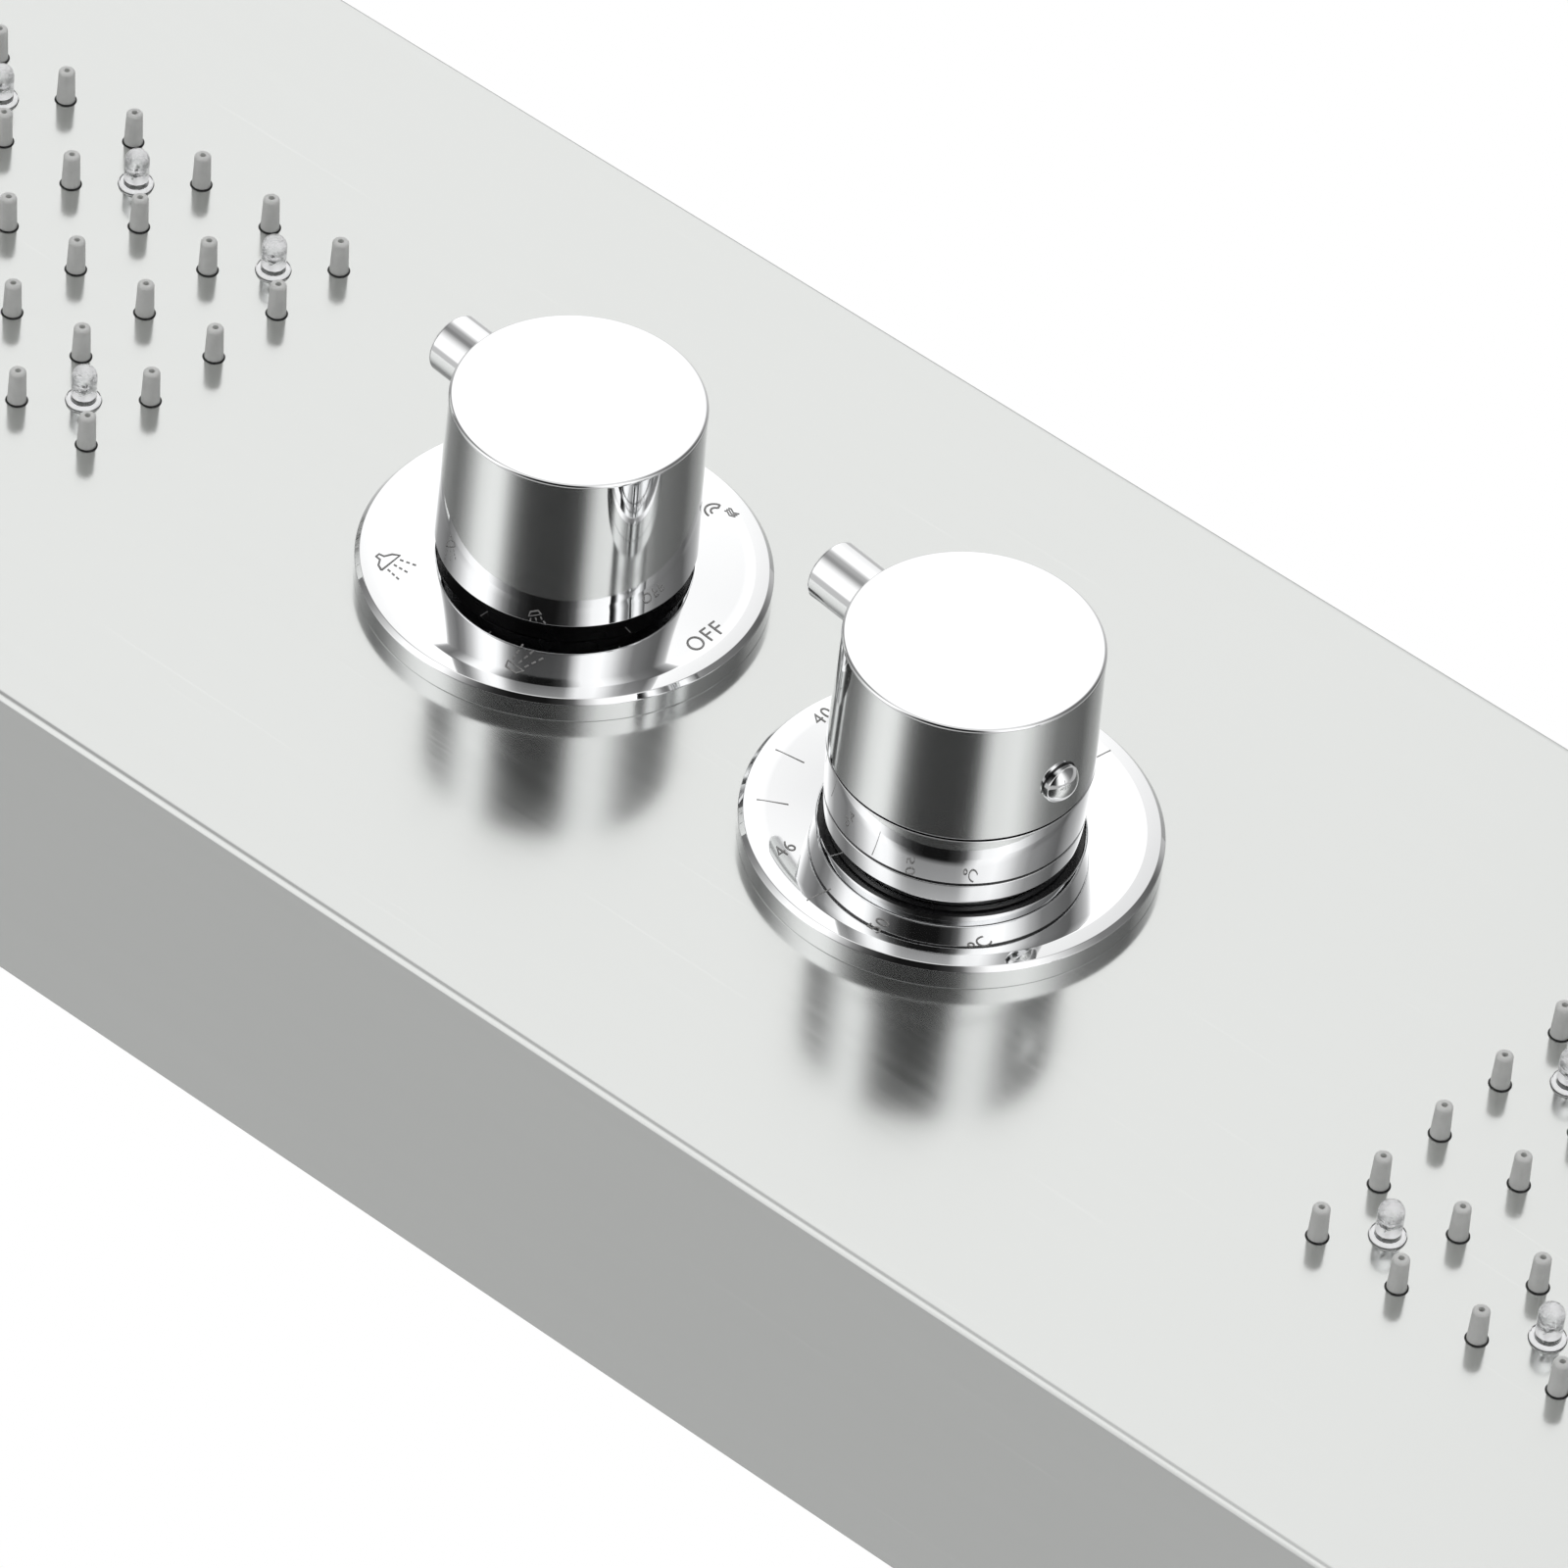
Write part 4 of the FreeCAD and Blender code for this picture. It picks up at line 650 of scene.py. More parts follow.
@dataclass
class MarkWriter:
    """Writes words and strokes as thin raised enamel on a flat top."""

    height: float
    rise: float = 0.03
    boldness: float = -0.006

    def _as_shape(self, curve: bpy.types.Curve) -> Shape:
        """The curve as a mesh.

        Args:
            curve: the curve. It is used up.

        Returns:
            The mesh.
        """
        holder = bpy.data.objects.new("mark", curve)
        bpy.context.scene.collection.objects.link(holder)
        graph = bpy.context.evaluated_depsgraph_get()
        mesh = bpy.data.meshes.new_from_object(holder.evaluated_get(graph))
        shape = bmesh.new()
        shape.from_mesh(mesh)
        bpy.data.objects.remove(holder)
        bpy.data.curves.remove(curve)
        bpy.data.meshes.remove(mesh)
        return shape

    def word(self, text: str, size: float, middle: Point, spacing: float = 1.15) -> Shape:
        """A word, upright.

        Args:
            text: the word.
            size: the letters' size.
            middle: the point that it is centred on.
            spacing: the letters' spacing, 1 for the usual one.

        Returns:
            The word's shape.
        """
        curve = bpy.data.curves.new("word", "FONT")
        curve.body = text
        curve.size = size
        curve.space_character = spacing
        curve.align_x = "CENTER"
        curve.align_y = "CENTER"
        curve.offset = self.boldness * size
        curve.extrude = self.rise / 2
        return shifted(self._as_shape(curve), *middle, self.height)

    def stroke(self, stroke: Stroke, middle: Point, turn: float = 0.0) -> Shape:
        """A stroke, flattened to the marks' height.

        Args:
            stroke: the stroke.
            middle: the point that it is drawn about.
            turn: how far it is turned counter-clockwise, in degrees.

        Returns:
            The stroke's shape.
        """
        curve = bpy.data.curves.new("stroke", "CURVE")
        curve.dimensions = "3D"
        curve.bevel_depth = stroke.width / 2
        curve.bevel_resolution = 2
        curve.use_fill_caps = True
        run = curve.splines.new("POLY")
        run.points.add(len(stroke.points) - 1)
        for spot, (x, y) in zip(run.points, stroke.points):
            spot.co = (x, y, 0.0, 1.0)
        shape = self._as_shape(curve)
        bmesh.ops.scale(shape, verts=shape.verts, vec=(1, 1, 2 * self.rise / stroke.width))
        return shifted(rotated(shape, turn, "Z"), *middle, self.height)


def around(angle: float, radius: float) -> Point:
    """A place on a plate: the angle goes from six o'clock through three, in degrees."""
    turn = math.radians(angle)
    return radius * math.sin(turn), -radius * math.cos(turn)


def arc_points(middle: Point, radius: float, start: float, end: float, steps: int = 10
               ) -> tuple[Point, ...]:
    """Points on an arc.

    Args:
        middle: the arc's middle.
        radius: its radius.
        start: its first angle, in degrees.
        end: its last angle, in degrees.
        steps: how many runs it has.

    Returns:
        The points.
    """
    turns = [math.radians(start + (end - start) * i / steps) for i in range(steps + 1)]
    return tuple((middle[0] + radius * math.cos(turn), middle[1] + radius * math.sin(turn))
                 for turn in turns)


def dashes(start: Point, step: Point, count: int, share: float = 0.55, width: float = 0.36
           ) -> list[Stroke]:
    """A dashed line of drops.

    Args:
        start: where the first dash starts.
        step: the way from one dash to the next.
        count: how many there are.
        share: a dash's part of the step.
        width: their width.

    Returns:
        The dashes.
    """
    return [Stroke(tuple((start[0] + step[0] * part, start[1] + step[1] * part)
                         for part in (i, i + share)), width) for i in range(count)]


class Pictogram(Enum):
    """The plain outlet signs on the diverter's plate."""

    OVERHEAD = "overhead shower"
    BODY = "body jets"
    SPOUT = "spout"
    HAND = "hand shower"

    def strokes(self) -> list[Stroke]:
        """Draws the sign, upright about its middle.

        Returns:
            Its lines.
        """
        if self is Pictogram.OVERHEAD:
            bell = ((-2.3, 0.5), (-1.7, 1.7), (-0.5, 2.4), (-0.4, 3.4), (0.4, 3.4), (0.5, 2.4),
                    (1.7, 1.7), (2.3, 0.5), (-2.3, 0.5))
            drops = [dash for x, lean in ((-1.5, -0.25), (0.0, 0.0), (1.5, 0.25))
                     for dash in dashes((x, -0.2), (lean, -1.15), 3)]
            return [Stroke(bell)] + drops
        if self is Pictogram.BODY:
            nozzle = ((-3.2, 1.1), (-2.0, 1.7), (-2.0, -1.7), (-3.2, -1.1), (-3.2, 1.1))
            drops = [dash for y, lean in ((-1.3, -0.35), (0.0, 0.0), (1.3, 0.35))
                     for dash in dashes((-1.3, y), (1.4, lean), 3)]
            return [Stroke(nozzle)] + drops
        if self is Pictogram.SPOUT:
            neck = arc_points((-0.9, 0.2), 1.9, 180.0, 20.0)
            lower = arc_points((-0.9, 0.2), 0.9, 180.0, 20.0)
            waves = [Stroke(tuple((-0.2 + 0.5 * i + 0.25 * math.sin(step * 1.57), -0.6 - 0.45 * step)
                                  for step in range(6)), 0.26) for i in range(1, 4)]
            return [Stroke(neck), Stroke(lower), Stroke((neck[-1], lower[-1]))] + waves
        handle = ((-2.6, -2.6), (-0.3, 0.6))
        head = arc_points((0.5, 1.5), 1.4, 0.0, 360.0, 16)
        drops = [dash for x in (1.2, 2.1) for dash in dashes((x, 0.0), (0.5, -0.9), 2)]
        return [Stroke(handle, 0.5), Stroke(head)] + drops


# ---------------------------------------------------------------- sub-assemblies


@dataclass
class Mounted:
    """A sub-assembly on the casing's front, about a middle of its own."""

    name: str
    x: float
    y: float

    def add_piece(self, name: str, shape: Shape, finish: Finish, body: Body = Body.COLUMN,
                  replaces: Sequence[str] = ()) -> None:
        """Makes a piece from a shape, dresses it and hangs it on its body.

        Args:
            name: the piece's name after the sub-assembly's.
            shape: its shape, in millimetres about the middle. It is used up.
            finish: its finish.
            body: the body that it rides on.
            replaces: the frame's nodes that it stands for.
        """
        name = f"{self.name}_{name}"
        mesh = bpy.data.meshes.new(name)
        shape.to_mesh(mesh)
        shape.free()
        front_view(mesh, self.x, self.y)
        mesh.shade_smooth()
        mesh.set_sharp_from_angle(angle=SHARP_ABOVE)
        piece = bpy.data.objects.new(name, mesh)
        bpy.context.scene.collection.objects.link(piece)
        mesh.materials.append(finish.material())
        weighted = piece.modifiers.new("weighted_normals", "WEIGHTED_NORMAL")
        weighted.keep_sharp = True
        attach(piece, body.value)
        if replaces:
            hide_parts(*replaces)
        LOG.info("%s: %d faces, on %s", name, len(mesh.polygons), body.value)


@dataclass
class CoverPlate(Mounted):
    """A chrome cover plate with a hole for its knob."""

    hole: float
    radius: float = 40.0
    thickness: float = 5.4
    bevel: float = 0.9
    skirt: float = 1.0
    recess: Point = (28.4, 36.1)
    shoulder: Point = (2.6, 0.35)
    flare: tuple[Point, ...] = ()
    mark_lift: float = 0.07

    def build(self) -> None:
        """Makes the plate: rim, bevel, soft shoulder, flat and the flare to its hole.

        The flare's points are (distance from the hole, height over the flat), outermost first.
        """
        top = self.thickness
        width, drop = self.shoulder
        profile = [(self.hole, 0.0), (self.recess[0], 0.0), (self.recess[0], self.skirt),
                   (self.recess[1], self.skirt), (self.recess[1], 0.0), (self.radius, 0.0),
                   (self.radius, top - drop - self.bevel),
                   (self.radius - self.bevel, top - drop),
                   (self.radius - self.bevel - width, top)]
        profile += [(self.hole + away, top + rise) for away, rise in self.flare]
        plate = turned(profile, steps=192, rounds={5: 0.2, 6: 0.35, 7: 0.3}, runs=10)
        self.add_piece("cover_plate", plate, CHROME, replaces=[f"{self.name}_plate"])

    def mark(self, shapes: Iterable[Shape], name: str) -> None:
        """Adds engraved marks that follow the plate's top.

        Args:
            shapes: the marks, on the flat.
            name: the piece's name after the plate's.
        """
        marks = joined(shapes)
        for vert in marks.verts:
            vert.co.z += self.mark_lift + self._rise(math.hypot(vert.co.x, vert.co.y) - self.hole)
        self.add_piece(name, marks, ENAMEL)

    def _rise(self, away: float) -> float:
        """How high the top stands over the flat.

        Args:
            away: the distance from the hole.

        Returns:
            The height, less than 0 where the top is sunk.
        """
        for (outer, high), (inner, low) in zip(self.flare, self.flare[1:]):
            if inner <= away < outer:
                return low + (high - low) * (away - inner) / (outer - inner)
        return 0.0


@dataclass
class BlackRing(Mounted):
    """The black ring in the plate's hole, with its neck and its white marks."""

    hole: float
    low: float = 3.0
    flange: float = 0.8
    neck: float = 20.0
    neck_top: float = 13.0
    wall: float = 2.0
    nose: float = 8.5
    clearance: float = 0.1
    marks: tuple[float, ...] = ()
    mark_ends: Point = (0.6, 0.3)
    mark_width: float = 0.25

    def build(self) -> None:
        """Makes the ring and the printed marks."""
        outer = self.hole - self.clearance
        inner = self.neck - self.wall
        high = self.low + self.flange
        profile = [(inner, self.low), (outer, self.low), (outer, high), (self.neck, high),
                   (self.neck, self.neck_top), (self.nose, self.neck_top),
                   (self.nose, self.neck_top - self.wall), (inner, self.neck_top - self.wall)]
        ring = turned(profile, steps=128, rounds={2: 0.25, 4: 0.5})
        self.add_piece("black_ring", ring, BLACK, replaces=[f"{self.name}_collar"])
        line = Stroke(((0.0, self.neck + self.mark_ends[0]), (0.0, outer - self.mark_ends[1])),
                      self.mark_width)
        ticks = [MarkWriter(high).stroke(line, (0, 0), angle + 180.0) for angle in self.marks]
        self.add_piece("ring_marks", joined(ticks), PRINT_WHITE)


@dataclass
class Knob(Mounted):
    """A chrome knob cap with its lever, turned as it rests."""

    body: Body
    bottom: float
    top: float
    lever_end: float
    rest_angle: float
    radius: float = 25.1
    top_radius: float = 24.5
    edge_round: float = 0.7
    wall: float = 2.6
    roof: float = 4.0
    hub: float = 8.5
    hub_bottom: float = 17.0
    hub_wall: float = 0.01
    hub_roof: float = 0.5
    lever_radius: float = 6.2
    lever_edge: float = 0.6
    lever_below_top: float = 9.6
    lever_sunk: float = 1.2

    def build(self) -> None:
        """Makes the cap and the lever pin, a round bar with a rounded rim."""
        cavity = self.top_radius - self.wall
        roof = self.top - self.roof
        hub = self.hub + self.hub_wall
        profile = [(cavity, self.bottom), (self.radius, self.bottom), (self.top_radius, self.top),
                   (0.0, self.top), (0.0, roof - self.hub_roof), (self.hub, roof - self.hub_roof),
                   (self.hub, self.hub_bottom), (hub, self.hub_bottom), (hub, roof), (cavity, roof)]
        cap = turned(profile, steps=192, rounds={1: 0.25, 2: self.edge_round}, runs=8)
        start, end, radius = self.top_radius - self.lever_sunk, self.lever_end, self.lever_radius
        lever = turned([(0.0, start), (radius, start), (radius, end), (0.0, end)], steps=96,
                       rounds={2: self.lever_edge})
        shifted(rotated(lever, -90, "X"), 0.0, 0.0, self.top - self.lever_below_top)
        for name, shape, node in (("cap", cap, "knob"), ("lever_pin", lever, "lever")):
            self.add_piece(name, rotated(shape, self.rest_angle, "Z"), CHROME, self.body,
                           [f"{self.name}_{node}"])


@dataclass
class Sleeve(Mounted):
    """The thermostat's lower sleeve: a slim cone with a groove, a neck below and a spigot above."""

    bottom: float = 7.0
    bottom_radius: float = 24.4
    neck_bottom: float = 3.6
    neck_radius: float = 23.3
    top: float = 23.1
    top_radius: float = 25.1
    groove: Point = (11.3, 12.0)
    groove_depth: float = 0.5
    ring_sunk: float = 0.2
    spigot_radius: float = 21.85
    spigot_wall: float = 1.6
    spigot_top: float = 26.6

    def _radius(self, height: float) -> float:
        """The cone's radius at a height."""
        share = (height - self.bottom) / (self.top - self.bottom)
        return self.bottom_radius + (self.top_radius - self.bottom_radius) * share

    def build(self) -> None:
        """Makes the sleeve, and a black ring in its groove as painted shade."""
        low, high = self.groove
        floor = self._radius(low) - self.groove_depth
        inner = self.spigot_radius - self.spigot_wall
        profile = [(inner, self.neck_bottom), (self.neck_radius, self.neck_bottom),
                   (self.neck_radius, self.bottom), (self.bottom_radius, self.bottom),
                   (self._radius(low), low), (floor, low), (floor, high),
                   (self._radius(high), high), (self.top_radius, self.top),
                   (self.spigot_radius, self.top), (self.spigot_radius, self.spigot_top),
                   (inner, self.spigot_top)]
        sleeve = turned(profile, steps=192, rounds={1: 0.3, 3: 0.4, 4: 0.15, 7: 0.15, 8: 0.2}, runs=4)
        self.add_piece("lower_sleeve", sleeve, CHROME, Body.THERMOSTAT, ["thermostat_sleeve"])
        # a black ring fills the groove: painted shade
        face = self._radius(low) - self.ring_sunk
        ring = turned([(floor, low), (face, low), (face, high), (floor, high)], steps=192)
        self.add_piece("groove_painted_shade", ring, BLACK, Body.THERMOSTAT)


@dataclass
class StopButton(Mounted):
    """The domed button in the thermostat cap's wall, its spring, and a black ring in the gap round it
    as painted shade.
    """

    rest_angle: float
    level: float = 33.2
    radius: float = 3.95
    rim: float = 25.7
    dome: float = 2.2
    flange: tuple[float, float, float] = (5.0, 19.1, 20.3)
    stem: Point = (1.2, 15.3)
    hole: float = 4.3
    ring_gap: float = 0.04
    ring_depth: float = 1.0
    cap_radius: float = 24.9
    travel: float = 2.5
    coil_start: float = 12.5
    coil_radius: float = 2.3
    coil_wire: float = 0.3
    coil_gap: float = 0.05
    coil_turns: int = 5
    coil_runs: int = 18

    def _aimed(self, shape: Shape) -> Shape:
        """The shape, turned from +z to six o'clock, then by the rest angle."""
        return shifted(rotated(rotated(shape, 90, "X"), self.rest_angle, "Z"), 0.0, 0.0, self.level)

    def build(self) -> None:
        """Makes the button, the black ring of painted shade and the spring."""
        sphere = (self.radius ** 2 + self.dome ** 2) / (2 * self.dome)
        half = math.degrees(math.asin(self.radius / sphere))
        dome = arc_points((0.0, self.rim + self.dome - sphere), sphere, 90.0 - half, 90.0, steps=12)
        wide, low, high = self.flange
        thin, end = self.stem
        profile = [(0.0, end), (thin, end), (thin, low), (wide, low), (wide, high),
                   (self.radius, high), *dome[:-1], (0.0, dome[-1][1])]
        self.add_piece("stop_button", self._aimed(turned(profile, steps=64)), CHROME, Body.BUTTON,
                       ["stop_button"])
        # a black ring fills the gap between the button and its hole, flush with the cap: painted shade
        inner, low = self.radius + self.ring_gap, self.cap_radius - self.ring_depth
        ring = turned([(inner, low), (self.hole, low), (self.hole, self.cap_radius),
                       (inner, self.cap_radius)], steps=64)
        for vert in ring.verts:
            vert.co.z += math.sqrt(self.cap_radius ** 2 - vert.co.x ** 2) - self.cap_radius
        self.add_piece("button_gap_painted_shade", self._aimed(ring), BLACK, Body.THERMOSTAT)
        self.add_piece("button_coil", self._aimed(self._coil()), SPRING, Body.THERMOSTAT,
                       ["stop_button_spring"])

    def _coil(self) -> Shape:
        """The spring at its pressed length, so that the button's flange never cuts into it.

        Returns:
            The spring's shape, about +z.
        """
        low = self.coil_start + self.coil_wire
        high = self.flange[1] - self.travel - self.coil_wire - self.coil_gap
        steps = self.coil_turns * self.coil_runs
        coil = bmesh.new()
        place = Matrix.Translation((self.coil_radius, 0.0, low)) @ Matrix.Rotation(math.pi / 2, 4, "X")
        bmesh.ops.create_circle(coil, segments=8, radius=self.coil_wire, matrix=place)
        bmesh.ops.spin(coil, geom=coil.verts[:] + coil.edges[:], cent=(0, 0, 0), axis=(0, 0, 1),
                       dvec=(0, 0, (high - low) / steps), angle=math.tau * self.coil_turns,
                       steps=steps)
        bmesh.ops.holes_fill(coil, edges=[edge for edge in coil.edges if edge.is_boundary])
        bmesh.ops.recalc_face_normals(coil, faces=coil.faces)
        return coil


@dataclass
class JetGroup(Mounted):
    """Things in columns and rows about the middle of one group of body jets."""

    columns: tuple[float, ...]
    rows: tuple[float, ...]
    pitch: float = 18.2

    def at_each(self, make: Callable[[], list[Shape]]) -> Shape:
        """One mesh with the made shapes at each place."""
        return joined(shifted(shape, i * self.pitch, j * self.pitch)
                      for i in self.columns for j in self.rows for shape in make())


@dataclass
class Lamps(JetGroup):
    """The clear lamps of one group of body jets, and the metal and enamel cast into them."""

    columns: tuple[float, ...] = (-1.5, 1.5)
    rows: tuple[float, ...] = (-2.0, 0.0, 2.0)
    lens_radius: float = 2.5
    collar_radius: float = 3.45
    collar_height: float = 0.8
    height: float = 8.6
    depth: float = 9.0
    bowl: tuple[Point, ...] = ((0.0, 1.0), (2.1, 1.6), (2.1, 1.5), (0.0, 0.8))
    rim: tuple[Point, ...] = ((2.5, 0.35), (3.2, 0.25), (3.2, 0.05), (2.5, 0.05))
    cup: tuple[Point, ...] = ((0.0, 3.2), (0.75, 3.2), (1.05, 4.5), (0.9, 4.5), (0.55, 3.6),
                              (0.0, 3.6))
    cup_x: float = -0.3
    # each post: x, top and width
    posts: tuple[Place, ...] = ((-0.45, 3.4, 0.9), (1.27, 4.3, 0.8))
    post_thickness: float = 0.45
    post_tail: float = 2.0

    def build(self) -> None:
        """Makes the lenses, their lead frames and their reflectors."""
        self.add_piece("lamp_lenses", self.at_each(self._lens), LENS,
                       replaces=[f"{self.name}_leds"])
        self.add_piece("lamp_frames", self.at_each(self._lead_frame), LEAD_FRAME)
        # the reflectors glow faintly: painted glow, not lamps
        self.add_piece("lamp_reflectors", self.at_each(self._reflector), REFLECTOR_PAINTED_GLOW)

    def _lens(self) -> list[Shape]:
        """The domed lens with its collar and its body.

        Returns:
            The lens's shape.
        """
        straight = self.height - self.lens_radius
        dome = [(self.lens_radius * math.cos(math.radians(a)),
                 straight + self.lens_radius * math.sin(math.radians(a))) for a in range(0, 90, 9)]
        profile = [(0.0, -self.depth), (self.collar_radius, -self.depth),
                   (self.collar_radius, self.collar_height), (self.lens_radius, self.collar_height),
                   *dome, (0.0, self.height)]
        return [turned(profile, steps=48, rounds={2: 0.3}, runs=4)]

    def _reflector(self) -> list[Shape]:
        """The pale bowl and rim cast into the lamp's foot."""
        return [turned(self.bowl, steps=32), turned(self.rim, steps=32)]

    def _lead_frame(self) -> list[Shape]:
        """The cup that holds the chip, its post and the second post.

        Returns:
            Their shapes.
        """
        shapes = [shifted(turned(self.cup, steps=24), self.cup_x, 0.0)]
        for x, top, width in self.posts:
            post = bmesh.new()
            bmesh.ops.create_cube(post, size=1.0)
            bmesh.ops.scale(post, verts=post.verts,
                            vec=(width, self.post_thickness, top + self.depth + self.post_tail))
            bmesh.ops.bevel(post, geom=post.edges[:], offset=0.08, segments=1, profile=0.5,
                            affect="EDGES", material=-1)
            shapes.append(shifted(post, x, 0.0, (top - self.depth - self.post_tail) / 2))
        return shapes


@dataclass
class NozzleShadowRings(JetGroup):
    """Black rings round the nozzles' feet of one group, set a little low: painted shadow in the gaps
    between the casing's holes and the nozzles.
    """

    columns: tuple[float, ...] = (-2.0, -1.0, 0.0, 1.0, 2.0)
    rows: tuple[float, ...] = (-2.5, -1.5, -0.5, 0.5, 1.5, 2.5)
    inner: float = 1.85
    outer: float = 2.15
    bottom: float = 0.02
    height: float = 0.25
    # the rings sit this far down so that the painted shadow shows below each nozzle
    sunk: float = -0.12

    def build(self) -> None:
        """Makes one black ring of painted shadow round each nozzle's foot."""
        self.add_piece("nozzle_painted_shadows", shifted(self.at_each(self._ring), 0.0, self.sunk), BLACK)

    def _ring(self) -> list[Shape]:
        """The ring round one nozzle.

        Returns:
            Its shape.
        """
        profile = [(self.inner, self.bottom), (self.outer, self.bottom), (self.outer, self.height),
                   (self.inner, self.height)]
        return [turned(profile, steps=32, rounds={2: 0.2}, runs=2)]


@dataclass
class Column:
    """The frame's nodes by the finish that they wear."""

    finishes: tuple[tuple[Finish, tuple[str, ...]], ...] = (
        (FRONT_STEEL, ("front_casing", "top_end_cap", "bottom_end_cap")),
        (HEAD_STEEL, ("rain_head_shell", "rain_head_plate")),
        (CHROME, ("tub_spout", "spout_flange", "hand_shower_outlet", "thermostat_sleeve",
                  "stop_button", "diverter_plate", "diverter_knob", "diverter_lever",
                  "thermostat_plate", "thermostat_knob", "thermostat_lever")),
        (CUT_STEEL, ("upper_wall_bracket", "lower_wall_bracket", "upper_cross_bar",
                     "lower_cross_bar")),
        (PIPE_STEEL, ("mixer_pipe", "jet_pipe", "rain_pipe", "spout_pipe", "hand_shower_pipe",
                      "rain_head_screws", "water_box_nuts", "water_box_studs")),
        (BRASS, ("diverter_body", "mixer_body", "panel_nuts", "cartridge_nuts", "pipe_nuts",
                 "spout_nut", "spout_elbow", "diverter_spindle", "thermostat_spindle")),
        (BLACK, ("diverter_collar", "thermostat_collar", "led_power_box")),
        (MOULDED, ("diverter_cartridge", "thermostat_cartridge", "inlet_filters",
                   "inlet_check_valves", "spout_aerator")),
        (SILICONE, ("upper_nozzle_mat", "lower_nozzle_mat", "rain_nozzle_mat")),
        (FOAM, ("seal_strips", "diverter_gasket", "thermostat_gasket")),
        (WHITE_BOX, ("upper_water_box", "lower_water_box", "rain_water_box")),
        (LENS, ("upper_leds", "lower_leds")),
        (BOARD, ("upper_led_board", "lower_led_board")),
        (SPRING, ("stop_button_spring",)),
    )

    def dress(self, nodes: dict[str, bpy.types.Object]) -> None:
        """Gives every node of the frame its finish.

        Args:
            nodes: the frame's objects by name.
        """
        for finish, names in self.finishes:
            for name in names:
                piece = nodes[name]
                if not piece.material_slots:
                    piece.data.materials.append(None)
                for holder in piece.material_slots:
                    holder.material = finish.material()
                LOG.info("%s: %s", name, finish.name)


# ---------------------------------------------------------------- studio


def light(level: float) -> Colour:
    """The light of a display level between 0 and 1."""
    return (level ** DISPLAY_GAMMA,) * 3


